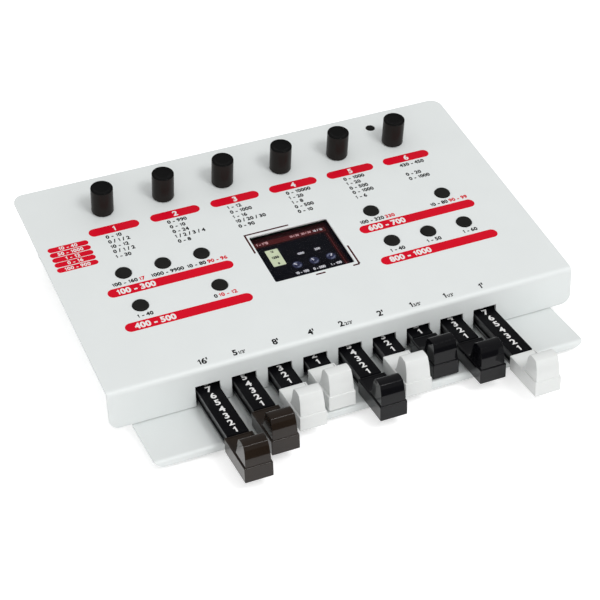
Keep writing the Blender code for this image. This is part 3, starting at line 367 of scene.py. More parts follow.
# %% A finish and its grain
PATCH = 30


def finish(name, colour, roughness, metallic=0.0, specular=0.5, **more):
    made = bpy.data.materials.new(name)
    made.use_nodes = True
    values = {"Base Color": (*colour, 1.0), "Roughness": roughness, "Metallic": metallic,
              "Specular IOR Level": specular, **more}
    for label, value in values.items():
        made.node_tree.nodes["Principled BSDF"].inputs[label.replace("_", " ")].default_value = value
    return made


def grained(made, size, depth, tint=0.03, gloss=0.05):
    """Adds relief of one grain size, and patches of a little other colour and gloss."""
    tree = made.node_tree
    shader = tree.nodes["Principled BSDF"]
    place = node(tree, "ShaderNodeTexCoord").outputs["Object"]
    fine = node(tree, "ShaderNodeTexNoise", Vector=place, Scale=1 / size, Detail=3.0)
    broad = node(tree, "ShaderNodeTexNoise", Vector=place, Scale=1 / (size * PATCH), Detail=2.0)
    bump = node(tree, "ShaderNodeBump", Strength=1.0, Distance=depth, Height=fine.outputs["Fac"])
    ramp = node(tree, "ShaderNodeValToRGB", Fac=broad.outputs["Fac"])
    ends = ramp.color_ramp.elements
    ends[0].position, ends[1].position = 0.3, 0.7
    for end, share in zip(ends, (1 - tint, 1 + tint)):
        end.color = (*[min(1.0, c * share) for c in shader.inputs["Base Color"].default_value[:3]], 1.0)
    level = shader.inputs["Roughness"].default_value
    spread = node(tree, "ShaderNodeMapRange", Value=broad.outputs["Fac"],
                  To_Min=level - gloss, To_Max=level + gloss)
    feed(tree, shader.inputs["Normal"], bump.outputs["Normal"])
    feed(tree, shader.inputs["Base Color"], ramp.outputs["Color"])
    feed(tree, shader.inputs["Roughness"], spread.outputs["Result"])
    return made


# %% The module's finishes
powder_coat = finish("white_powder_coat", (0.735, 0.765, 0.760), 0.42)
case_black = finish("black_moulding", (0.004, 0.004, 0.005), 0.36, specular=0.04)
# The bar flanks' lighter base colour is painted reflection; their higher specular level is a shinier surface.
flank_painted_reflection = finish("satin_bar_flank_painted_reflection", (0.030, 0.030, 0.032), 0.34, specular=0.55)
knob_charcoal = finish("charcoal_plastic", (0.015, 0.013, 0.012), 0.30, specular=0.09)
# The endless knob top's darker base colour is painted shade; its lower roughness is the polished top's own.
painted_shade_knob_top = finish("charcoal_top_painted_shade", (0.006, 0.006, 0.006), 0.22, specular=0.05)
key_black = finish("black_key_caps", (0.014, 0.014, 0.013), 0.42, specular=0.07)
knob_black = finish("gloss_black_plastic", (0.003, 0.003, 0.004), 0.08, specular=0.26)
knob_brown = finish("gloss_brown_plastic", (0.0145, 0.0090, 0.0056), 0.08, specular=0.37)
knob_white = finish("gloss_white_plastic", (0.725, 0.74, 0.73), 0.20)
rubber = finish("black_rubber", (0.018, 0.018, 0.018), 0.78, specular=0.3)
nickel = finish("nickel_plate", (0.66, 0.65, 0.62), 0.24, 1.0)
steel = finish("zinc_plated_steel", (0.58, 0.59, 0.60), 0.33, 1.0)
brass = finish("gold_flashed_contact", (0.85, 0.62, 0.25), 0.28, 1.0)
board_green = finish("green_solder_mask", (0.012, 0.10, 0.035), 0.38)
cable_grey = finish("grey_flat_cable", (0.33, 0.33, 0.34), 0.55)
grained(powder_coat, 0.0007, 0.000012, 0.008)
for moulded in (case_black, flank_painted_reflection, knob_charcoal, painted_shade_knob_top, key_black):
    grained(moulded, 0.0003, 0.000006, 0.1)
for glossy in (knob_black, knob_brown, knob_white):
    grained(glossy, 0.0009, 0.000003, 0.01 if glossy is knob_white else 0.1)
for metal in (nickel, steel, brass):
    grained(metal, 0.0005, 0.000005, 0.05)
grained(rubber, 0.0006, 0.00003, 0.15)
grained(board_green, 0.0008, 0.00001, 0.2)
grained(cable_grey, 0.0009, 0.00002, 0.1)
print("finishes", len(bpy.data.materials))

# %% Inks, and the display's own light
ink_red = finish("red_screen_ink", (0.620, 0.001, 0.016), 0.5, specular=0.08)
ink_dark_red = finish("dark_red_screen_ink", (0.055, 0.002, 0.005), 0.5, specular=0.05)
ink_black = finish("black_screen_ink", (0.010, 0.010, 0.011), 0.5, specular=0.08)
ink_white = finish("white_screen_ink", (0.78, 0.78, 0.77), 0.5)
for ink in (ink_red, ink_dark_red, ink_black, ink_white):
    grained(ink, 0.0004, 0.000004, 0.01 if ink is ink_white else 0.04)


def glow(name, colour, strength, unlit=0.3):
    """A shape that gives its own light. Unlit, it keeps that share of its colour."""
    light = {"Emission_Color": (*colour, 1.0), "Emission_Strength": strength}
    made = finish(name, [unlit * c for c in colour], 0.35, specular=0.05, **light)
    return grained(made, 0.0002, 0.000001, 0.1)


# %% [markdown]
# A finished piece gets its finish, smooth shading that breaks at sharp edges, and normals weighted
# to the larger faces, so that a flat face stays flat beside its rounded edge. Then the frame is
# told which body carries it and what it stands for. A drawbar's drawn flanks are shinier than its
# printed top and get a lighter colour as painted reflection, and an endless knob's polished top gets
# a darker colour than its skirt as painted shade, so a test can pick faces for a second finish.

# %% Finishing a piece
def piece(name, mesh, material, body="case", nodes=(), sharp=40):
    mesh.materials.clear()
    mesh.materials.append(material)
    mesh.shade_smooth()
    mesh.set_sharp_from_angle(angle=math.radians(sharp))
    made = helper(mesh, name)
    weights = made.modifiers.new("weighted_normals", "WEIGHTED_NORMAL")
    weights.keep_sharp = True
    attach(made, body)
    if nodes:
        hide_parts(*nodes)
    return made


def refinished(made, material, chosen):
    """Gives a second finish to the faces that a test chooses."""
    made.data.materials.append(material)
    for face in made.data.polygons:
        if chosen(face):
            face.material_index = 1


# %% [markdown]
# ## The panel
#
# The cover is one sheet of 1.5 mm steel: panel and front flange, with nine notches for the
# drawbars. A box with thickness would have square folds, so it is cut flat, its edges are eased as
# a deburred sheet's are, and it is folded over the front line, which gives the soft bend that
# catches the light along the whole front.

# %% The layout on the panel
BAR_COUNT, BAR_PITCH = 9, 0.02013
ENCODERS, ENCODER_PITCH, ENCODER_ROW = 6, 0.036, 0.1371
BUSH = 0.007
KEY_DIAMETER = 0.0086
KEY_ROWS, KEY_INNER, KEY_OUTER = (0.0835, 0.0561), 0.0513, 0.0963
WINDOW_SIZE, WINDOW_CORNER = (0.0468, 0.0392), 0.0008
WINDOW_PLACE = (0.0012, 0.067)
WINDOW_FLANGE = (0.0516, 0.0438)
LENS_PLACE, LENS_DIAMETER = (0.0835, 0.1538), 0.005
BAR_WIDTH, BAR_HEIGHT = 0.0121, 0.008
NOTCH_WIDTH, NOTCH_HEIGHT = 0.0137, 0.01065
bar_xs = [(k - (BAR_COUNT - 1) / 2) * BAR_PITCH for k in range(BAR_COUNT)]
encoder_xs = [(k - (ENCODERS - 1) / 2) * ENCODER_PITCH for k in range(ENCODERS)]
key_middle = (KEY_INNER + KEY_OUTER) / 2
key_places = [(-x, KEY_ROWS[0]) for x in (KEY_OUTER, key_middle, KEY_INNER)]
key_places += [(-x, KEY_ROWS[1]) for x in (KEY_OUTER, KEY_INNER)]
key_places += [(x, KEY_ROWS[0]) for x in (KEY_INNER, KEY_OUTER)]
key_places += [(x, KEY_ROWS[1]) for x in (KEY_INNER, key_middle, KEY_OUTER)]
print("keys", len(key_places), "encoders", len(encoder_xs), "drawbars", len(bar_xs))

# %% The folded cover
PANEL_BEND, PANEL_CORNER, FLANGE_CORNER = 0.003, 0.0065, 0.0055
SHEET_EDGE = 0.0002
SKIRT = 0.0016


def cover_mesh():
    angle = math.pi / 2 - TILT
    tangent = PANEL_BEND * math.tan(angle / 2)
    lower = 2 * tangent - PANEL_BEND * angle - FLANGE_HEIGHT
    half, back = PANEL_WIDTH / 2, PANEL_LENGTH - PANEL_CORNER
    corner_row = lower - SKIRT + FLANGE_CORNER
    outline = [
        *arc((-half + FLANGE_CORNER, corner_row), FLANGE_CORNER, 180, 270, 12),
        *arc((half - FLANGE_CORNER, corner_row), FLANGE_CORNER, 270, 360, 12),
        *arc((half - PANEL_CORNER, back), PANEL_CORNER, 0, 90, 12),
        *arc((-half + PANEL_CORNER, back), PANEL_CORNER, 90, 180, 12),
    ]
    holes = [rectangle(WINDOW_PLACE, *WINDOW_SIZE, WINDOW_CORNER)]
    holes += [circle(LENS_PLACE, clear(LENS_DIAMETER))]
    holes += [circle((x, ENCODER_ROW), clear(BUSH)) for x in encoder_xs]
    holes += [circle(place, clear(KEY_DIAMETER)) for place in key_places]
    holes += [rectangle((x, lower), NOTCH_WIDTH, 2 * NOTCH_HEIGHT) for x in bar_xs]
    flat = eased(pierced(outline, holes, SHEET, -SHEET), SHEET_EDGE)
    return moved(fold(flat, 1, -1, -tangent, PANEL_BEND, angle, -1), PANEL)


cover = piece("cover_sheet", cover_mesh(), powder_coat, nodes=["top_cover"], sharp=20)
print("cover", len(cover.data.polygons), "faces")

# %% [markdown]
# Two angle rails are spot-welded under the cover for the case screws, and threaded posts are
# pressed into it for the board. They are hidden once the case is shut, and still they are what
# holds it together. The posts repeat, so they are left to a node tree in the next step.

# %% The rails under the cover
RAIL_ENDS, RAIL_DROP, RAIL_FLANGE = (0.022, 0.152), 0.0135, 0.009
RAIL_X = WALL_X - SHEET - SEAT
SCREW_ROWS, SCREW_DEPTH, SCREW_SHANK = (0.036, 0.138), 0.009, 0.003


def rail_mesh(sign):
    """One rail. The mirrored one is inside out at first, so edit() finds both rails' normals again."""
    length, middle = RAIL_ENDS[1] - RAIL_ENDS[0], sum(RAIL_ENDS) / 2
    flat = block((RAIL_FLANGE, length, SHEET), (RAIL_X - RAIL_FLANGE / 2, middle, -1.5 * SHEET - 0.00005))
    web = rectangle((middle, -SHEET - RAIL_DROP / 2), length, RAIL_DROP - SHEET)
    holes = [circle((row, -SCREW_DEPTH), clear(SCREW_SHANK), 24) for row in SCREW_ROWS]
    upright_web = moved(sideways(pierced(web, holes, SHEET, -SHEET / 2)), at(RAIL_X - SHEET / 2, 0, -0.00005))
    rail = eased(joined(flat, upright_web), SHEET_EDGE)
    return edit(moved(rail, PANEL @ Matrix.Scale(sign, 4, (1, 0, 0))), lambda body: None)


piece("cover_rails", grouped([rail_mesh(-1), rail_mesh(1)]), steel, sharp=20)

# %% [markdown]
# ## One node tree that stamps a shape on points
#
# Posts, nuts, washers, pins and contacts all repeat one shape at given places. A Geometry Nodes
# tree does this once for all: the points come in as the mesh, and the shape and its finish are
# inputs. It ends in Realize Instances, because an export drops instances.

# %% The stamping tree
def new_tree(name, inputs):
    tree = bpy.data.node_groups.new(name, "GeometryNodeTree")
    for label, kind in {"Geometry": "Geometry", **inputs}.items():
        tree.interface.new_socket(label, in_out="INPUT", socket_type="NodeSocket" + kind)
    tree.interface.new_socket("Geometry", in_out="OUTPUT", socket_type="NodeSocketGeometry")
    return tree, tree.nodes.new("NodeGroupInput").outputs


def ended(tree, source, material):
    """Realizes the instances and sets the finish, as the last two nodes of every tree."""
    real = node(tree, "GeometryNodeRealizeInstances", Geometry=source)
    paint = node(tree, "GeometryNodeSetMaterial", Geometry=real.outputs[0], Material=material)
    node(tree, "NodeGroupOutput", Geometry=paint.outputs[0])
    return tree


def stamping_tree():
    tree, given = new_tree("stamp_on_points", {"Shape": "Object", "Material": "Material"})
    shape = node(tree, "GeometryNodeObjectInfo", Object=given["Shape"]).outputs["Geometry"]
    stamp = node(tree, "GeometryNodeInstanceOnPoints", Points=given["Geometry"], Instance=shape)
    return ended(tree, stamp.outputs[0], given["Material"])


def run_tree(tree, mesh, values):
    """The plain mesh that a tree makes of a mesh, with its inputs set by identifier first."""
    shape = helper(mesh)
    modifier = shape.modifiers.new("nodes", "NODES")
    modifier.node_group = tree
    for item in tree.interface.items_tree:
        if item.in_out == "INPUT" and item.name in values:
            modifier[item.identifier] = values[item.name]
    return settled(shape)


def stamped(shape_mesh, places, material):
    points = bpy.data.meshes.new("points")
    points.from_pydata([tuple(place) for place in places], [], [])
    shape = helper(shape_mesh)
    made = run_tree(stamp_tree, points, {"Shape": shape, "Material": material})
    bpy.data.objects.remove(shape)
    return made


stamp_tree = stamping_tree()
print("tree", stamp_tree.name, "nodes", len(stamp_tree.nodes))

# %% Posts under the panel and on the base
POST, PIN, BOARD, PIN_PROUD = 0.0056, 0.0026, 0.0016, 0.0008
PANEL_BOARD_DEPTH = 0.0068


def post_mesh(height):
    top = height + SEAT + BOARD + PIN_PROUD
    profile = [(0, top), (PIN / 2 - 0.0003, top), (PIN / 2, top - 0.0003), (PIN / 2, height)]
    profile += [(POST / 2 - 0.0003, height), (POST / 2, height - 0.0003), (POST / 2, 0), (0, 0)]
    return turned(profile, 24)


board_half = RAIL_X - SHEET - 0.0054
board_rows = (0.044, PANEL_LENGTH - 0.0084)
post_spots = [(board_half - 0.006, board_rows[0] + 0.006), (board_half - 0.006, board_rows[1] - 0.006)]
post_spots += [(0.037, 0.100)]
hanging = Matrix.Rotation(math.pi, 4, "X")
spots = [(sign * x, -row, 0) for x, row in post_spots for sign in (-1, 1)]
posts = moved(stamped(post_mesh(PANEL_BOARD_DEPTH), spots, nickel), PANEL @ at(0, 0, -SHEET) @ hanging)
piece("cover_posts", posts, nickel)
print("cover posts", len(spots))

# %% [markdown]
# ## The base
#
# Base plate, front shelf with its lip, side walls, rear wall and the strip that slopes up under the
# panel are one sheet too. It is drawn flat from the finished sizes: every fold takes its radius
# times its angle out of the blank. Folding in code, strip first and lip last, is what a press
# brake does.

# %% Sizes of the base
SHELF_REACH, SHELF_CORNER, SHELF_BEND, LIP_DEPTH = 0.034, 0.0055, 0.002, 0.0042
WALL_BEND, REAR_HEIGHT, REAR_OVERHANG, RELIEF = 0.0025, 0.033, 0.003, 0.001
FRONT_CUT = 0.004
MAIN_POST, SOCKET_RISE = 0.006, 0.0098
SOCKET_Z = SHELF_Z + MAIN_POST + SEAT + BOARD + SEAT + SOCKET_RISE
POWER_X, USB_X, DIN_XS = 0.837 * WALL_X, 0.630 * WALL_X, (0.398 * WALL_X, 0.191 * WALL_X)
JACK_XS = [-(0.083 + 0.232 * k) * WALL_X for k in range(4)]
POWER_BARREL, USB_SHELL, DIN_NOSE, JACK_BUSH = 0.008, (0.012, 0.0108), 0.0155, 0.009


def wall_top(y):
    return BEND_Z + (y - FLANGE_Y) * math.tan(TILT) - (SHEET + SEAT) / math.cos(TILT)


# %% The flat blank of the base, and its folds
def base_mesh():
    bend, lip_bend = WALL_BEND * math.pi / 2, SHELF_BEND * math.pi / 2
    fold_x, fold_y = WALL_X - WALL_BEND, REAR_Y - WALL_BEND
    front = FLANGE_Y + SHEET + SEAT
    rear_top = (PANEL @ Vector((0, PANEL_LENGTH, 0))).y - REAR_OVERHANG
    rise = wall_top(rear_top) - BASE_Z - REAR_HEIGHT
    crease = math.atan2(REAR_Y - rear_top, rise)
    corner = WALL_BEND * math.tan(crease / 2)
    lean = WALL_BEND * crease + math.hypot(REAR_Y - rear_top, rise) - 2 * corner - SEAT
    lip_line = FLANGE_Y - SHELF_REACH + SHELF_BEND
    lip_end = lip_line - lip_bend - (LIP_DEPTH - SHELF_BEND)

    def out(line, height):
        """How far out in the flat blank a height on the folded wall lies."""
        return line + bend + height - WALL_BEND

    half, inner = SHELF_WIDTH / 2, WALL_X - SHEET - SEAT
    shoulder = front + FRONT_CUT
    side = [
        *arc((half - SHELF_CORNER, lip_end + SHELF_CORNER), SHELF_CORNER, 270, 360, 10),
        (half, front - RELIEF),
        (fold_x - RELIEF, front - RELIEF),
        (fold_x - RELIEF, front),
        (out(fold_x, BEND_Z - FRONT_CUT - BASE_Z), front),
        (out(fold_x, wall_top(shoulder) - BASE_Z), shoulder),
        (out(fold_x, wall_top(rear_top) - BASE_Z), rear_top),
        (out(fold_x, REAR_HEIGHT), REAR_Y),
        (fold_x + bend + RELIEF, REAR_Y),
        (fold_x + bend + RELIEF, fold_y - RELIEF),
        (fold_x - RELIEF, fold_y - RELIEF),
        (fold_x - RELIEF, fold_y + bend + RELIEF),
        (inner, fold_y + bend + RELIEF),
        (inner, out(fold_y, REAR_HEIGHT - corner + lean)),
    ]
    outline = side + [(-x, y) for x, y in reversed(side)]
    row = out(fold_y, SOCKET_Z - BASE_Z)
    rounds = [(POWER_X, POWER_BARREL), *[(x, DIN_NOSE) for x in DIN_XS], *[(x, JACK_BUSH) for x in JACK_XS]]
    holes = [circle((x, row), clear(diameter)) for x, diameter in rounds]
    holes += [rectangle((USB_X, row), *map(clear, USB_SHELL))]
    for screw_row in SCREW_ROWS:
        middle = PANEL @ Vector((0, screw_row, -SCREW_DEPTH))
        reach = out(fold_x, middle.z - BASE_Z)
        holes += [circle((sign * reach, middle.y), clear(SCREW_SHANK), 24) for sign in (-1, 1)]

    def on_side_wall(point):
        return front - SEAT < point.y < REAR_Y + SEAT and point.z < SHEET + SEAT

    mesh = eased(pierced(outline, holes, SHEET), SHEET_EDGE)
    fold(mesh, 1, 1, out(fold_y, REAR_HEIGHT - corner), WALL_BEND, crease, 1)
    fold(mesh, 1, 1, fold_y, WALL_BEND, math.pi / 2, 1, where=lambda point: abs(point.x) < WALL_X)
    for sign in (-1, 1):
        fold(mesh, 0, sign, fold_x, WALL_BEND, math.pi / 2, 1, where=on_side_wall)
    fold(mesh, 1, -1, -lip_line, SHELF_BEND, math.pi / 2, -1, skin=SHEET)
    return moved(mesh, at(0, 0, BASE_Z))


base = piece("base_sheet", base_mesh(), powder_coat, nodes=["base_tray"], sharp=20)
print("base", len(base.data.polygons), "faces")

# %% [markdown]
# ## Print on the panel
#
# Red, black and white ink is screen-printed on the powder coat. A picture could carry it, but then
# every mark would blur close up, so each mark is a real film of ink 0.03 mm high. The red fields
# carry index numbers, the columns under the knobs and the captions under the keys carry value
# ranges, and every drawbar has its footage in front of it.

# %% Lettering as a thin mesh
INK = 0.00003
INK_ROOT = 0.00002
FLAGGED_ONE = [(0.17, 0), (0.37, 0), (0.37, 1), (0.22, 1), (0.14, 0.86), (0, 0.79), (0, 0.63), (0.17, 0.70)]
ONE_WIDTH, ONE_MARGIN = 0.37, 0.10


def typed(text, size, bold, spacing):
    """Blender's own font, from x = 0."""
    curve = bpy.data.curves.new("letters", "FONT")
    curve.body, curve.size, curve.offset = text, size, bold * size
    curve.space_character, curve.resolution_u = spacing, 5
    curve.extrude = (INK + INK_ROOT) / 2
    return settled(helper(curve))


def right_end(mesh):
    return span(mesh, 0)[1]


CAP_SHARE = span(typed("H", 1.0, 0.0, 1.0), 1)[1]
print("capital height as a share of the size", round(CAP_SHARE, 3))


def letters(text, size=1.0, bold=0.0, align="CENTER", spacing=1.0):
    """One line of lettering, in which every 1 gets the flag that the font leaves out."""
    tall, x, parts = size * CAP_SHARE, 0.0, []
    stop = right_end(typed("HH", size, bold, spacing))
    for run in re.findall("1|[^1]+", text):
        if run == "1":
            outline = [(x + (ONE_MARGIN + a) * tall, b * tall) for a, b in FLAGGED_ONE]
            parts.append(plate(outline, INK + INK_ROOT, -(INK + INK_ROOT) / 2))
            x += (ONE_WIDTH + 2 * ONE_MARGIN) * tall * spacing
        else:
            if run.strip():
                parts.append(moved(typed(run, size, bold, spacing), at(x, 0)))
            x += right_end(typed("H" + run + "H", size, bold, spacing)) - stop
    mesh = grouped(parts)
    left, right = span(mesh, 0)
    start = {"LEFT": left, "CENTER": (left + right) / 2, "RIGHT": right}[align]
    return moved(mesh, at(-start, 0))


def word(text, height, x, row, bold=0.0, align="CENTER", spacing=1.0, lift=0.0):
    """Lettering on the panel's plane, with its baseline at that row."""
    mesh = letters(text, height / CAP_SHARE, bold, align, spacing)
    return moved(mesh, at(x, row, (INK - INK_ROOT) / 2 + lift))


def pill(x, row, width, height):
    return plate(rectangle((x, row), width, height, height / 2 - 1e-6, 8), INK + INK_ROOT, -INK_ROOT)


def stroke(points, width):
    """A printed line through corner points, made of one thin block for each run."""
    runs = []
    for (x0, y0), (x1, y1) in zip(points, points[1:]):
        length = math.hypot(x1 - x0, y1 - y0) + width
        run = block((length, width, INK + INK_ROOT), (0, 0, (INK - INK_ROOT) / 2))
        turn = Matrix.Rotation(math.atan2(y1 - y0, x1 - x0), 4, "Z")
        runs.append(moved(run, at((x0 + x1) / 2, (y0 + y1) / 2) @ turn))
    return runs


def printed(name, meshes, ink):
    return piece(name, moved(grouped(meshes), PANEL), ink)


# %% Red fields and the marks beside them
VALUE_ROWS = (0.1146, 0.1103, 0.1060, 0.1018, 0.0974)
PILL_ROW, PILL_SIZE, PILL_SHIFT = 0.1205, (0.0292, 0.0064), 0.0010
FIELD_ROWS, FIELD_ENDS, FIELD_HEIGHT = (0.0699, 0.0418), (0.0381, 0.1098), 0.0066
STACK_X, STACK_SIZE = -0.1175, (0.0232, 0.0038)
field_x, field_width = sum(FIELD_ENDS) / 2, FIELD_ENDS[1] - FIELD_ENDS[0]
red = [pill(x + PILL_SHIFT, PILL_ROW, *PILL_SIZE) for x in encoder_xs]
red += [pill(STACK_X, row, *STACK_SIZE) for row in VALUE_ROWS]
red += [pill(sign * field_x, row, field_width, FIELD_HEIGHT) for sign in (-1, 1) for row in FIELD_ROWS]

# %% White numbers on the red fields
WHITE_TEXT, STACK_TEXT, FIELD_TEXT, FIELD_INDENT = 0.0037, 0.0024, 0.0038, 0.0052
white = []
for number, x in enumerate(encoder_xs, start=1):
    row = PILL_ROW - WHITE_TEXT / 2
    white.append(word(str(number), WHITE_TEXT, x + PILL_SHIFT, row, 0.04, lift=INK))
for text, row in zip(("10 - 40", "50 - 1000", "1 - 12", "0 - 16", "100 - 900"), VALUE_ROWS):
    white.append(word(text, STACK_TEXT, STACK_X, row - STACK_TEXT / 2, 0.03, spacing=1.1, lift=INK))
fields = [(sign * field_x - field_width / 2, row - FIELD_TEXT / 2) for sign in (-1, 1) for row in FIELD_ROWS]
for (left, row), text in zip(fields, ("100 - 300", "400 - 500", "600 - 700", "800 - 1000")):
    white.append(word(text, FIELD_TEXT, left + FIELD_INDENT, row, 0.045, "LEFT", 1.05, INK))

# %% Value ranges under the knobs and the keys' captions
RANGES = (
    ("0 - 10", "0 / 1 / 2", "10 - 12", "0 / 1 / 2", "1 - 30"),
    ("0 - 990", "0 - 10", "0 - 24", "1 / 2 / 3 / 4", "0 - 8"),
    ("1 - 12", "0 - 1000", "1 - 16", "10 / 20 / 30", "0 - 90"),
    ("0 - 10000", "1 - 20", "1 - 8", "0 - 500", "0 - 10"),
    ("0 - 1000", "1 - 20", "0 - 500", "0 - 1000", "1 - 6"),
    ("430 - 450", "", "0 - 20", "0 - 1000", ""),
)
SMALL_TEXT, COLUMN_INDENT, CAPTION_DROP, CAPTION_GAP = 0.0025, 0.0058, 0.0087, 0.0009


def small(text, x, row):
    return word(text, SMALL_TEXT, x, row, 0.045, "LEFT", 1.08)


black = []
for x, column in zip(encoder_xs, RANGES):
    for row, text in zip(VALUE_ROWS, column):
        if text:
            black.append(small(text, x - COLUMN_INDENT, row - SMALL_TEXT / 2))
CAPTIONS = (
    ("100 - 160", "17"), ("1000 - 9900", ""), ("10 - 80", "90 - 96"), ("1 - 40", ""), ("0", "10 - 12"),
    ("100 - 320", "330"), ("10 - 80", "90 - 99"), ("1 - 40", ""), ("1 - 50", ""), ("1 - 60", ""),
)
for (first, second), (x, row) in zip(CAPTIONS, key_places):
    half_length = right_end(letters(first + second, SMALL_TEXT / CAP_SHARE, spacing=1.08))
    black.append(small(first, x - half_length, row - CAPTION_DROP))
    if second:
        red.append(small(second, right_end(black[-1]) + CAPTION_GAP, row - CAPTION_DROP))

# %% Footages over the drawbars, and the lines round the display
FOOTAGES = (("16", ""), ("5", "1/3"), ("8", ""), ("4", ""), ("2", "2/3"), ("2", ""), ("1", "3/5"),
            ("1", "1/3"), ("1", ""))
FOOTAGE_ROW, FOOT_TEXT, PART_TEXT = 0.0032, 0.0037, 0.0021
for x, (feet, part) in zip(bar_xs, FOOTAGES):
    if part:
        black.append(word(feet, FOOT_TEXT, x - 0.0014, FOOTAGE_ROW, 0.035, "RIGHT"))
        black.append(word(part + "'", PART_TEXT, x - 0.0010, FOOTAGE_ROW, 0.03, "LEFT"))
    else:
        black.append(word(feet + "'", FOOT_TEXT, x, FOOTAGE_ROW, 0.035))
LINE = 0.0010
lines = stroke([(-0.0238, 0.0735), (-0.0238, 0.0888), (0.0020, 0.0888)], LINE)
lines += stroke([(0.0264, 0.0605), (0.0264, 0.0456), (0.0258, 0.0449), (0.0230, 0.0448)], LINE)
lines += stroke([(0.0010, 0.0452), (0.0056, 0.0452)], LINE)

# %% The inks as one piece each
printed("print_red", red, ink_red)
printed("print_black", black, ink_black)
printed("print_white", white, ink_white)
printed("print_lines", lines, ink_dark_red)
print("marks", len(red), "red", len(black), "black", len(white), "white")

# %% [markdown]
# ## The drawbars
#
# A drawbar is an extruded black bar with a groove in each flank, and numbers 1 to 8 on top that
# say how far it is out. Its section is drawn once and extruded, and a tongue in front takes the
# thumb knob. All nine are one mesh, copied to the places that the frame gives.

# %% The bar
BAR_TAIL, KNOB_LENGTH, BAR_LIFT, KNOB_LIFT = 0.0937, 0.0273, 0.002, 0.001
TONGUE, TONGUE_RISE, GROOVE = (0.0094, 0.012, 0.0042), 0.0019, 0.001


def bar_mesh():
    half, web, low = BAR_WIDTH / 2, BAR_WIDTH / 2 - GROOVE, 0.0019
    high = BAR_HEIGHT - low
    right = [(half, 0), (half, low), (web, low + 0.0003)]
    right += [(web, high - 0.0003), (half, high), (half, BAR_HEIGHT)]
    section = right + [(-x, z) for x, z in reversed(right)]
    length = BAR_TAIL - SEAT
    bar = moved(eased(upright(plate(section, length)), 0.00025), at(0, BAR_TAIL, 0))
    overlap = 0.002
    tongue_z = TONGUE_RISE + KNOB_LIFT - BAR_LIFT + TONGUE[2] / 2
    tongue = block((TONGUE[0], TONGUE[1] + overlap, TONGUE[2]), (0, (overlap - TONGUE[1]) / 2, tongue_z))
    lever = block((0.0012, 0.004, 0.0055), (0, BAR_TAIL - 0.005, BAR_HEIGHT + 0.00075))
    return joined(bar, eased(tongue, 0.0003), eased(lever, 0.0002))


bar_master = bar_mesh()
print("bar", len(bar_master.polygons), "faces")

# %% [markdown]
# The numbers repeat along the bar at the pitch of its steps, so they are a second node tree: a mesh
# line gives the points, and Pick Instance takes the next numeral of a collection for each. The
# collection sorts its objects by name, and their names end in their numbers.

# %% A tree that sets numerals in a row
def row_tree():
    inputs = {"Numerals": "Collection", "Count": "Int", "Pitch": "Float", "Material": "Material"}
    tree, given = new_tree("numerals_in_a_row", inputs)
    step = node(tree, "ShaderNodeCombineXYZ", Y=given["Pitch"])
    line = node(tree, "GeometryNodeMeshLine", Count=given["Count"], Offset=step.outputs[0])
    shapes = node(tree, "GeometryNodeCollectionInfo", Collection=given["Numerals"],
                  Separate_Children=True, Reset_Children=True)
    index = node(tree, "GeometryNodeInputIndex")
    pick = node(tree, "GeometryNodeInstanceOnPoints", Points=line.outputs[0], Instance=shapes.outputs[0],
                Pick_Instance=True, Instance_Index=index.outputs[0])
    return ended(tree, pick.outputs[0], given["Material"])


STOPS, STOP_PITCH, FIRST_NUMBER = 8, 0.00615, 0.0040
NUMBER_HEIGHT = 0.0043
numerals = bpy.data.collections.new("numerals")
bpy.context.scene.collection.children.link(numerals)
for number in range(1, STOPS + 1):
    mesh = letters(str(number), NUMBER_HEIGHT / CAP_SHARE, 0.028)
    moved(mesh, at(0, -sum(span(mesh, 1)) / 2))
    numerals.objects.link(bpy.data.objects.new(f"numeral_{number}", mesh))
tree_values = {"Numerals": numerals, "Count": STOPS, "Pitch": STOP_PITCH, "Material": ink_white}
numbers_master = run_tree(row_tree(), bpy.data.meshes.new("empty"), tree_values)
for shape in list(numerals.objects):
    bpy.data.objects.remove(shape)
bpy.data.collections.remove(numerals)
print("numerals", len(numbers_master.polygons), "faces")

# %% [markdown]
# ## The thumb knobs
#
# Each drawbar ends in a moulded knob: a low block with a step round it, and on it a hump with a
# steep face for pushing and a hollow behind its crest for pulling. Sculpting would be slower to
# change, so the hump is a side outline given a width, narrowed towards its top, with its long
# edges rounded. A Boolean joins it to the block.

# %% The hump's outline
KNOB_WIDTH, KNOB_HEIGHT, BLOCK_HEIGHT, RIM = 0.0152, 0.021, 0.0088, 0.0007


def smooth_line(points, steps=5):
    """A Catmull-Rom curve through the points, which keeps the two ends."""
    ends = [Vector(point) for point in (points[0], *points, points[-1])]
    made = []
    for a, b, c, d in zip(ends, ends[1:], ends[2:], ends[3:]):
        for k in range(steps):
            t = k / steps
            square, cube = 2 * a - 5 * b + 4 * c - d, 3 * b - a - 3 * c + d
            made.append(tuple(0.5 * (2 * b + (c - a) * t + square * t * t + cube * t ** 3)))
    return made + [points[-1]]


FACE = [(0.0006, 0.0088), (0.0008, 0.0120), (0.0012, 0.0150), (0.0019, 0.0178), (0.0029, 0.0202)]
CROWN = [(0.0031, 0.0204), (0.0045, 0.0208), (0.0064, KNOB_HEIGHT), (0.0084, 0.0208), (0.0098, 0.0200)]
SCOOP = [(0.0107, 0.0183), (0.0113, 0.0158), (0.0120, 0.0130), (0.0131, 0.0104), (0.0147, 0.0083),
         (0.0167, 0.0073), (0.0194, 0.0071), (0.0222, 0.0074), (0.0246, 0.0080)]


def hump_outline():
    """The side of the hump: distance behind the knob's front, and height."""
    low, back = 0.0004, KNOB_LENGTH - RIM
    crown = smooth_line(CROWN + SCOOP + [(back, BLOCK_HEIGHT - 0.0002)])
    return [(FACE[0][0], low)] + smooth_line(FACE) + crown + [(back, low)]


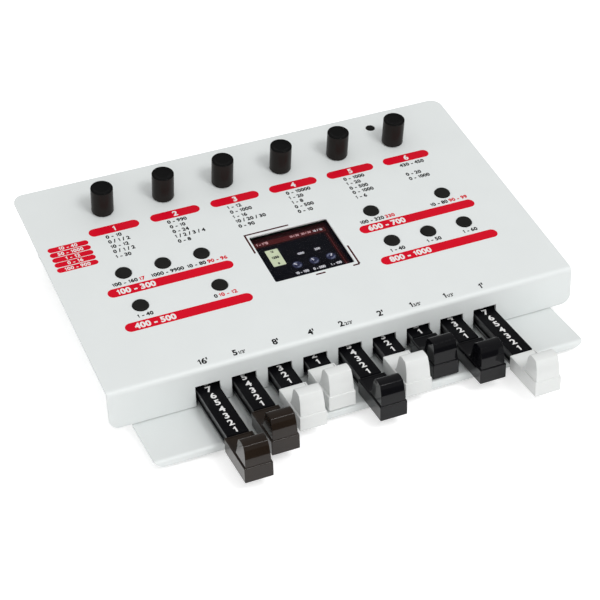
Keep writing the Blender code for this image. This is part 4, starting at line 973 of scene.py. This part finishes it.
# %% The knob
def knob_mesh():
    inner, overlap = KNOB_WIDTH - 2 * RIM, 0.0003
    hump = sideways(plate(hump_outline(), inner, -inner / 2))

    def shape_hump(body):
        level = Vector((0, 0, BLOCK_HEIGHT))
        everything = body.verts[:] + body.edges[:] + body.faces[:]
        bmesh.ops.bisect_plane(body, geom=everything, dist=1e-7, plane_co=level, plane_no=(0, 0, 1))
        for vertex in body.verts:
            above = max(0.0, vertex.co.z - BLOCK_HEIGHT) / (KNOB_HEIGHT - BLOCK_HEIGHT)
            vertex.co.x -= math.copysign(0.0005 * above, vertex.co.x)

    hump = eased(edit(hump, shape_hump), 0.00035, 3, 25)
    outer = block((KNOB_WIDTH, KNOB_LENGTH, BLOCK_HEIGHT), (0, KNOB_LENGTH / 2, BLOCK_HEIGHT / 2))
    outer = eased(outer, 0.0005, 3)
    near, far = 0.0006 + overlap, KNOB_LENGTH - RIM - overlap
    well = block((inner - 2 * overlap, far - near, 2 * BLOCK_HEIGHT), (0, (near + far) / 2, BLOCK_HEIGHT / 2))
    size = (TONGUE[0] + 2 * SEAT, 2 * (TONGUE[1] + SEAT), TONGUE[2] + 2 * SEAT)
    socket = block(size, (0, KNOB_LENGTH, TONGUE_RISE + TONGUE[2] / 2))
    return cut(joined(cut(outer, well), hump), socket)


knob_master = knob_mesh()
print("knob", len(knob_master.polygons), "faces")

# %% Nine drawbars at the frame's places
KNOB_FINISHES = {"brown": knob_brown, "white": knob_white, "black": knob_black}
COLOURS = ("brown", "brown", "white", "white", "black", "white", "black", "black", "white")
PRINT_GAP = 0.00001
for number, (x, colour) in enumerate(zip(bar_xs, COLOURS), start=1):
    body, knob = f"drawbar_{number}", f"drawbar_knob_{number}"
    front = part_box(knob)[0].y
    shoulder = at(x, front + KNOB_LENGTH, SHELF_Z + BAR_LIFT)
    bar = piece(f"bar_{number}", placed(bar_master, shoulder), case_black, body, [body])
    # The flanks take the finish whose lighter colour is painted reflection.
    refinished(bar, flank_painted_reflection, lambda face: abs(face.normal.x) > 0.7)
    mesh = placed(numbers_master, shoulder @ at(0, FIRST_NUMBER, BAR_HEIGHT + PRINT_GAP))
    piece(f"bar_numbers_{number}", mesh, ink_white, body)
    mesh = placed(knob_master, at(x, front, SHELF_Z + KNOB_LIFT))
    piece(f"thumb_knob_{number}", mesh, KNOB_FINISHES[colour], body, [knob])

# %% [markdown]
# ## Knobs, keys, lens and display
#
# The endless knobs, the keys and the lens are turned parts, so each is a profile swept round its
# axis by the Screw modifier. The profiles carry what light needs: a broken edge, a dish, a soft
# dome. The CAD solids already have their bores and stems, and these follow the same sizes.

# %% Endless knobs
ROUND, TOP_START = 0.00055, 0.0162


def encoder_knob_mesh():
    radius, low, top, dish = 0.01256 / 2, 0.0005, 0.0167, 0.0005
    shaft, recess, ceiling, end = 0.0025, BUSH / 2 + 2 * HOLE_GAP, 0.0045, -0.0015
    dished = [(radius * 0.62 * k / 4, top - dish + 0.00006 * k / 4) for k in range(5)]
    slope = [(radius * 0.66, top - 0.00038), (radius * 0.72, top - 0.00014), (radius * 0.78, top - 0.00002)]
    edge = list(reversed(list(arc((radius - ROUND, top - ROUND), ROUND, 0, 90, 6))))
    skirt = [(radius, low + 0.0004), (radius - 0.0002, low), (recess, low), (recess, ceiling)]
    return turned(dished + slope + edge + skirt + [(shaft, ceiling), (shaft, end), (0, end)], 96)


out_of_panel = PANEL.to_3x3() @ Vector((0, 0, 1))
encoder_knob_master = encoder_knob_mesh()
for number, x in enumerate(encoder_xs, start=1):
    mesh = placed(encoder_knob_master, PANEL @ at(x, ENCODER_ROW))
    body = f"encoder_knob_{number}"
    knob = piece(f"endless_knob_{number}", mesh, knob_charcoal, body, [body])
    # The top faces take the darker finish, which is painted shade.
    refinished(knob, painted_shade_knob_top, lambda face: (face.center - PANEL.translation).dot(out_of_panel) > TOP_START)
print("endless knobs", ENCODERS)

# %% Keys
def key_mesh():
    radius, proud, under = KEY_DIAMETER / 2, 0.0009, -SHEET - SEAT
    collar, low, stem, end = 0.0053, -SHEET - SEAT - 0.0009, 0.0016, -0.0058
    dome = [(radius * 0.9 * k / 5, proud - 0.00008 * (k / 5) ** 2) for k in range(6)]
    edge = [(radius - 0.00012, proud - 0.00024), (radius - 0.00003, proud - 0.0004), (radius, proud - 0.0006)]
    below = [(radius, under), (collar, under), (collar, low), (stem, low), (stem, end), (0, end)]
    return turned(dome + edge + below, 64)


key_master = key_mesh()
for number, place in enumerate(key_places, start=1):
    body = f"button_{number}"
    piece(f"key_{number}", placed(key_master, PANEL @ at(*place)), key_black, body, [body])
print("keys", len(key_places))

# %% The lens over the status light
smoked = grained(finish("smoked_lens", (0.014, 0.014, 0.014), 0.2, specular=0.04), 0.002, 0.000002, 0.2, 0.03)


def lens_mesh():
    radius, collar, under, end = LENS_DIAMETER / 2, 0.0036, -SHEET - SEAT, -0.0083
    dome = [(radius * k / 6, 0.0004 * (1 - (k / 6) ** 2)) for k in range(7)]
    return turned(dome + [(radius, under), (collar, under), (collar, end), (0, end)], 48)


piece("status_light", moved(lens_mesh(), PANEL @ at(*LENS_PLACE)), smoked, nodes=["status_lens"])

# %% [markdown]
# The display is a dark module behind a clear acrylic window that lies flush with the panel. Its
# picture has a header strip, a value block and three dials with their ranges, all made of thin
# shapes that give their own light, 3 mm under the window.

# %% The display's picture
DISPLAY_Z, PICTURE = -0.0033, (0.0032, WINDOW_PLACE[1] - 0.0010)
FILM, LAYER = 0.00003, 0.00004
acrylic = finish("coated_acrylic", (0.86, 0.84, 0.85), 0.03, specular=0.2, Transmission_Weight=1.0, IOR=1.06)
grained(acrylic, 0.003, 0.0000005, 0.01, 0.01)
screen_night = glow("screen_night_blue", (0.006, 0.007, 0.012), 0.4)
screen_shade = glow("screen_dark_maroon", (0.022, 0.007, 0.008), 0.6)
screen_maroon = glow("screen_maroon", (0.075, 0.014, 0.015), 0.8)
screen_cream = glow("screen_cream", (0.58, 0.66, 0.46), 0.9)
screen_slate = glow("screen_slate", (0.030, 0.036, 0.075), 0.8)
screen_chalk = glow("screen_chalk", (0.60, 0.62, 0.66), 0.9)
screen_rose = glow("screen_rose", (0.60, 0.36, 0.37), 0.9)


def on_screen(name, meshes, material, level):
    place = PANEL @ at(*PICTURE, DISPLAY_Z + LAYER * level)
    return piece(name, moved(grouped(meshes), place), material)


def tile(x, y, width, height, corner=0.0003):
    return plate(rectangle((x, y), width, height, corner, 4), FILM)


def figures(text, height, x, y, bold=0.02):
    return moved(letters(text, height / CAP_SHARE, bold), at(x, y - height / 2, FILM / 2))


on_screen("screen_ground", [tile(-0.0014, 0.0010, 0.0482, 0.0404)], screen_night, 0)
shade = [tile(-0.0024, 0.0168, 0.0456, 0.0082), tile(0.0184, -0.0020, 0.0032, 0.0294)]
on_screen("screen_shade", shade, screen_shade, 1)
header = [tile(-0.0032, 0.0156, 0.0440, 0.0038), tile(0.0182, -0.0020, 0.0007, 0.0280)]
on_screen("screen_header", header, screen_maroon, 2)
on_screen("screen_value", [tile(-0.0166, 0.0028, 0.0075, 0.0138, 0.0005)], screen_cream, 1)
dial_xs, dial_y = (-0.0076, 0.0025, 0.0126), -0.0068
on_screen("screen_dials", [plate(circle((x, dial_y), 0.0056, 32), FILM) for x in dial_xs], screen_slate, 1)

# %% The small figures on the display
TINY, RANGE_TEXT = 0.0015, 0.0017
marks = (("16 / 16", 0.0144, 0.0160), ("1000", -0.0022, 0.0012), ("250", 0.0079, 0.0015))
chalk = [figures(text, TINY, x, y, 0.04) for text, x, y in marks]
for x, text, turn in zip(dial_xs, ("10 - 100", "0 - 500", "1 - 100"), (135, 115, 60)):
    hand = tile(0, 0.0012, 0.0007, 0.0020, 0.0002)
    chalk.append(moved(hand, at(x, dial_y) @ Matrix.Rotation(math.radians(turn - 90), 4, "Z")))
    chalk.append(figures(text, RANGE_TEXT, x + 0.0003, -0.0132, 0.05))
on_screen("screen_chalk_marks", chalk, screen_chalk, 3)


def crescent(x, start, end):
    ring = list(arc((x, dial_y), 0.0023, start, end, 10)) + list(arc((x, dial_y), 0.0014, end, start, 10))
    return plate(ring, FILM)


rings = [crescent(x, *sweep) for x in dial_xs for sweep in ((70, 170), (250, 350))]
on_screen("screen_dial_rings", rings, glow("screen_steel", (0.13, 0.15, 0.23), 0.8), 2)
rose = [figures("1 - 160", 0.0018, -0.0192, 0.0158, 0.06)]
rose += [figures(text, 0.0014, x, 0.0160, 0.04) for text, x in (("10 / 30", 0.0002), ("20 / 30", 0.0073))]
on_screen("screen_rose_marks", rose, screen_rose, 3)
dark = [figures("12", TINY, -0.0166, 0.0080, 0.04), figures("1250", 0.0016, -0.0166, 0.0030, 0.06)]
dark.append(figures("8", TINY, -0.0166, -0.0022, 0.04))
on_screen("screen_value_marks", dark, screen_night, 2)

# %% The window
def window_mesh():
    under, flange = -SHEET - SEAT, 0.0012
    face_size = [size - 2 * HOLE_GAP for size in WINDOW_SIZE]
    face = rectangle(WINDOW_PLACE, *face_size, WINDOW_CORNER - HOLE_GAP / 2)
    back = rectangle((0, WINDOW_PLACE[1]), *WINDOW_FLANGE, 0.003)
    front = plate(face, flange - 0.0004 - under, under - flange + 0.0002)
    return eased(joined(plate(back, flange, under - flange), front), 0.00012)


piece("window", moved(window_mesh(), PANEL), acrylic, nodes=["display_window"])

# %% [markdown]
# ## The rear wall
#
# Power, data, two round sockets and four jacks look out of the rear wall. The photograph doesn't
# show them, so they are the usual parts at their usual sizes. Each is drawn once with its own Z out
# of the wall and then set in place, and what repeats inside it is stamped by the node tree.

# %% Placing a socket, and what sockets are made of
NOSE_ROOT = -0.0028


def socket_place(x):
    return at(x, REAR_Y, SOCKET_Z) @ Matrix.Rotation(-math.pi / 2, 4, "X")


def on_wall(name, mesh, x, material, slot, *nodes):
    return piece(name, moved(mesh, socket_place(x)), material, nodes=nodes)


def housing(width, depth, height, rise=0.0):
    """The block behind the wall, with its underside on the board or that far above it."""
    middle = (0, SOCKET_RISE - rise - height / 2, -SHEET - SEAT - depth / 2)
    return eased(block((width, height, depth), middle), 0.0003)


def leg(width, height, depth, middle):
    """A block that reaches from the board up into a housing."""
    return block((width, height, depth), (0, SOCKET_RISE - height / 2, -middle))


def nose(diameter, steps):
    """The round front that fills the wall's hole, with a broken edge."""
    radius, edge = diameter / 2, 0.0003
    return turned([(0, 0), (radius - edge, 0), (radius, -edge), (radius, NOSE_ROOT), (0, NOSE_ROOT)], steps)


def bore(diameter, depth, proud=0.001, steps=48):
    return turned([(0, proud), (diameter / 2, proud), (diameter / 2, -depth), (0, -depth)], steps)


# %% Jack sockets with their hex nuts and washers
JACK_BODY, JACK_HALF, JACK_PROUD = (0.0155, 0.024, 0.016), 0.008, 0.0035
THREADS, THREAD_PITCH, THREAD_DEPTH = 13, 0.00022, 0.00012


def jack_shell():
    width, depth, _ = JACK_BODY
    rise, radius = SOCKET_RISE - JACK_HALF, JACK_BUSH / 2
    profile = [(0, JACK_PROUD), (radius - 0.0003, JACK_PROUD)]
    for k in range(THREADS):
        z = JACK_PROUD - 0.0002 - k * THREAD_PITCH
        profile += [(radius - THREAD_DEPTH, z), (radius, z - THREAD_PITCH / 2)]
    bush = turned(profile + [(radius, NOSE_ROOT), (0, NOSE_ROOT)], 48)
    stand = leg(0.7 * width, rise + 0.001, 0.8 * depth, SHEET + SEAT + depth / 2)
    return cut(joined(housing(*JACK_BODY, rise), bush, stand), bore(0.0065, 0.022, 0.0045))


def nut_and_washer():
    blank = plate(circle((0, 0), 0.012 / math.cos(math.pi / 6), 6), 0.0018, SEAT + 0.0004)
    cone = turned([(0, 0.0026), (0.0061, 0.0026), (0.0071, 0.0020), (0.0071, 0.0004), (0, 0.0004)], 48)
    nut = cut(combined(blank, [cone], "INTERSECT"), bore(JACK_BUSH + 0.0001, 0.001, 0.004))
    hole = JACK_BUSH / 2 + 0.0001
    ring = [(hole, 0.0006), (0.0064, 0.0006), (0.0065, 0.0005), (0.0065, 0.0001), (hole, 0.0001)]
    return eased(nut, 0.00015, 2, 20), turned(ring, 64)


shell = jack_shell()
for number, x in enumerate(JACK_XS, start=1):
    on_wall(f"jack_{number}", shell.copy(), x, case_black, "black_plastic", f"audio_jack_{number}")
contacts = [tube(0.0028, 0.00315, -0.0165, -0.0205, 32), tube(0.0027, 0.00315, -0.0002, -0.0052)]
wall_spots = [(x, 0, 0) for x in JACK_XS]
for name, mesh in zip(("nuts", "washers", "contacts"), (*nut_and_washer(), grouped(contacts))):
    on_wall(f"jack_{name}", stamped(mesh, wall_spots, nickel), 0, nickel, "bright_steel")
print("jacks", len(JACK_XS))

# %% Round five-pin sockets
PIN_CIRCLE, PIN_HOLE = 0.0075, 0.0016


def din_meshes():
    spots = [(x, -y, 0) for x, y in arc((0, 0), PIN_CIRCLE / 2, 0, 180, 4)]
    holes = stamped(bore(PIN_HOLE, 0.006, steps=24), spots, case_black)
    key = block((0.0024, 0.0016, 0.004), (0, 0.0056, 0))
    shell = joined(housing(0.019, 0.012, 0.0185), nose(DIN_NOSE, 64))
    shell = cut(cut(shell, tube(0.006, 0.0071, 0.001, -0.006, 64)), holes, key)
    ring, sleeve = tube(0.0067, 0.0070, -0.0004, -0.0058, 64), tube(0.00045, 0.0007, -0.0012, -0.0056, 16)
    return shell, grouped([ring, stamped(sleeve, spots, nickel)])


shell, metal = din_meshes()
for number, x in enumerate(DIN_XS, start=1):
    on_wall(f"round_socket_{number}", shell.copy(), x, case_black, "black_plastic", f"din_socket_{number}")
    on_wall(f"round_socket_contacts_{number}", metal.copy(), x, nickel, "bright_steel")
print("round sockets", len(DIN_XS))

# %% Square data socket
USB_DEPTH, USB_MOUTH, USB_BEVEL = 0.016, (0.00845, 0.0078), 0.0018


def data_socket_meshes():
    width, height = USB_SHELL
    x, y = USB_MOUTH[0] / 2, USB_MOUTH[1] / 2
    right = [(x, y), (x, USB_BEVEL - y), (x - USB_BEVEL, -y)]
    mouth = plate(right + [(-a, b) for a, b in reversed(right)], 0.013, -0.012)
    shell = cut(eased(block((width, height, USB_DEPTH), (0, 0, -USB_DEPTH / 2)), 0.0005, 3), mouth)
    stand = leg(0.8 * width, SOCKET_RISE - height / 2 + 0.001, 0.6 * USB_DEPTH, 0.6 * USB_DEPTH)
    tongue = eased(block((0.0056, 0.0032, 0.0079), (0, 0, -0.0085)), 0.0002)
    spots = [(sign * 0.00125, side * 0.0016, -0.0078) for sign in (-1, 1) for side in (-1, 1)]
    return joined(shell, stand), tongue, stamped(block((0.0009, 0.0002, 0.0055)), spots, brass)


shell, tongue, pads = data_socket_meshes()
on_wall("data_socket", shell, USB_X, nickel, "bright_steel", "usb_socket")
on_wall("data_socket_tongue", tongue, USB_X, knob_white, "white_knob")
on_wall("data_socket_pads", pads, USB_X, brass, "bright_steel")

# %% Power inlet
barrel = joined(housing(0.009, 0.014, 0.011), nose(POWER_BARREL, 48))
shell = cut(barrel, bore(0.0063, 0.0095))
pin = [(0, -0.0012), (0.0006, -0.0013), (0.0009, -0.0016), (0.001, -0.0021), (0.001, -0.0094), (0, -0.0094)]
on_wall("power_socket", shell, POWER_X, case_black, "black_plastic", "power_inlet")
on_wall("power_socket_pin", turned(pin, 32), POWER_X, nickel, "bright_steel")
print("sockets placed at z", round(SOCKET_Z, 4))

# %% [markdown]
# ## Screws, feet and the inside
#
# Four button-head screws hold the cover's rails from outside the walls, and four rubber feet carry
# the case. A screw head is a dome with a six-sided socket, cut by a Boolean so that the recess is
# real. The boards, guide and cable are already the right shapes, so they only get their finishes.

# %% Case screws
def screw_mesh():
    head, shank, high = 0.0028, SCREW_SHANK / 2, 0.0018
    dome = [(head * x, high * (0.22 + 0.78 * y)) for x, y in arc((0, 0), 1, 90, 0, 10)]
    dome[0] = (0, high)
    below = [(head, 0), (shank, 0), (shank, -0.0053), (shank - 0.0005, -0.0058), (0, -0.0058)]
    shape = turned(dome + below, 40)
    recess = plate(circle((0, 0), 0.0023, 6), 0.002, high - 0.0011)
    return cut(shape, recess)


screw_master, screws = screw_mesh(), []
for sign in (-1, 1):
    for row in SCREW_ROWS:
        place = PANEL @ at(sign * (WALL_X + SEAT), row, -SCREW_DEPTH)
        screws.append(placed(screw_master, place @ Matrix.Rotation(sign * math.pi / 2, 4, "Y")))
piece("case_screws", grouped(screws), steel, nodes=[f"case_screw_{k}" for k in range(1, 5)])

# %% Rubber feet
def foot_mesh():
    outer, top, soft = 0.0125 / 2, 0.0055 - SEAT, 0.0008
    edge = list(arc((outer - soft, soft), soft, 0, -90, 6))
    ring = [(0.0036, 0), (0.0032, 0.0006), (0.0014, 0.0006), (0, 0.0006)]
    return turned([(0, top), (outer - 0.0003, top), (outer, top - 0.0003)] + edge + ring, 64)


foot_nodes = [f"foot_{k}" for k in range(1, 5)]
foot_spots = [(*((low + high) / 2).xy, 0) for low, high in map(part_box, foot_nodes)]
piece("feet", stamped(foot_mesh(), foot_spots, rubber), rubber, nodes=foot_nodes)
print("feet at", [(round(x, 3), round(y, 3)) for x, y, _ in foot_spots])

# %% Posts on the base plate
BOARD_DEPTH, POST_INSET, GUIDE_DEPTH = 0.058, 0.006, 0.0765
main_y = REAR_Y - SHEET - 0.0015 - BOARD_DEPTH
main_x = WALL_X - SHEET - 0.0052 - POST_INSET
rows = (main_y + POST_INSET, main_y + BOARD_DEPTH - POST_INSET)
low_spots = [(x, y, 0) for x in (-main_x, 0, main_x) for y in rows]
guide_x = (BAR_COUNT - 1) / 2 * BAR_PITCH + BAR_WIDTH / 2 + 0.0085
guide_back = FLANGE_Y + 0.0215 + GUIDE_DEPTH
tall_spots = [(sign * guide_x, guide_back - POST_INSET, 0) for sign in (-1, 1)]
drawbar_board_rise = BAR_LIFT + BAR_HEIGHT + 0.0005 + 0.0065
low_posts = stamped(post_mesh(MAIN_POST), low_spots, nickel)
tall_posts = stamped(post_mesh(drawbar_board_rise), tall_spots, nickel)
piece("base_posts", moved(grouped([low_posts, tall_posts]), at(0, 0, SHELF_Z)), nickel)

# %% Finishes of the solids that stay
module_black = finish("display_module_black", (0.010, 0.008, 0.009), 0.3, specular=0.1)
grained(module_black, 0.0008, 0.000004, 0.1)
kept = {"panel_board": board_green, "drawbar_board": board_green, "main_board": board_green,
        "drawbar_guide": case_black, "flat_cable": cable_grey, "display_module": module_black}
for name, material in kept.items():
    solid = frame["nodes"][name]
    solid.data.materials.clear()
    solid.data.materials.append(material)
print("kept solids", sorted(kept))

# %% [markdown]
# ## The studio
#
# The picture is a product shot on white: a large soft light from the upper right, so shadows fall
# softly to the left of the knobs, a weaker one from the left, and an even white surround. The floor
# is pale and keeps the object's shadow, and only camera, mirror and glass rays see it brighter.
#
# Glossy plastic is mostly what it mirrors. The photograph's knobs are light where they mirror the
# table, and dark above that, where they look past its front edge into a dim room. Mirror rays
# therefore see the floor end 45 mm in front of the knobs, and a surround of less than half strength.

# %% Floor
AMBIENT, ROOM, FAR_ROOM = 0.70, 0.3, 0.08
TABLE_EDGE, TABLE_SHINE, FLOOR_HALF = -0.170, 0.5, 6


def reckon(tree, operation, *values):
    """A Math node that takes sockets or plain numbers."""
    made = tree.nodes.new("ShaderNodeMath")
    made.operation = operation
    for entry, value in zip(made.inputs, values):
        feed(tree, entry, value)
    return made.outputs[0]


def ray_kinds(tree):
    rays = node(tree, "ShaderNodeLightPath")
    return [rays.outputs[f"Is {kind} Ray"] for kind in ("Camera", "Transmission", "Glossy")]


def floor_material():
    made = finish("pale_floor", (0.86, 0.86, 0.86), 0.9, specular=0.0, Emission_Color=(1, 1, 1, 1))
    tree = made.node_tree
    shader = tree.nodes["Principled BSDF"]
    camera_ray, glass_ray, mirror_ray = ray_kinds(tree)
    seen = reckon(tree, "MAXIMUM", reckon(tree, "MAXIMUM", camera_ray, glass_ray), mirror_ray)
    feed(tree, shader.inputs["Emission Strength"], reckon(tree, "MULTIPLY", seen, TABLE_SHINE))
    place = node(tree, "ShaderNodeNewGeometry")
    split = node(tree, "ShaderNodeSeparateXYZ", Vector=place.outputs["Position"])
    beyond = reckon(tree, "LESS_THAN", split.outputs["Y"], TABLE_EDGE)
    choice = node(tree, "ShaderNodeMixShader", Fac=reckon(tree, "MULTIPLY", beyond, mirror_ray))
    feed(tree, choice.inputs[1], shader.outputs[0])
    feed(tree, choice.inputs[2], node(tree, "ShaderNodeEmission", Strength=FAR_ROOM).outputs[0])
    feed(tree, tree.nodes["Material Output"].inputs["Surface"], choice.outputs[0])
    return made


floor_mesh = bpy.data.meshes.new("floor")
corners = [(a * FLOOR_HALF, b * FLOOR_HALF, 0) for a, b in ((-1, -1), (1, -1), (1, 1), (-1, 1))]
floor_mesh.from_pydata(corners, [], [(0, 1, 2, 3)])
floor_mesh.materials.append(floor_material())
floor = helper(floor_mesh, "floor")

# %% World
world = bpy.data.worlds.new("white_surround")
bpy.context.scene.world = world
world.use_nodes = True
tree = world.node_tree
surround = tree.nodes["Background"]
surround.inputs["Color"].default_value = (1, 1, 1, 1)
camera_ray, glass_ray, mirror_ray = ray_kinds(tree)
seen = reckon(tree, "MAXIMUM", camera_ray, glass_ray)
strength = reckon(tree, "MULTIPLY_ADD", seen, 1 - AMBIENT, AMBIENT)
strength = reckon(tree, "MULTIPLY_ADD", mirror_ray, ROOM - AMBIENT, strength)
feed(tree, surround.inputs["Strength"], strength)

# %% Lamps
def softbox(name, place, size, power, target=(0, 0, 0.03)):
    lamp = bpy.data.lights.new(name, "AREA")
    lamp.shape, lamp.size, lamp.energy = "SQUARE", size, power
    made = helper(lamp, name)
    aim = (Vector(target) - Vector(place)).normalized()
    made.matrix_world = aimed(Vector(place), aim, 0.0)
    return made


softbox("key_light", (0.6, -1.6, 2.0), 0.8, 23)
softbox("front_light", (-1.4, -2.6, 1.2), 1.8, 15)
bpy.context.scene.view_settings.view_transform = "Standard"
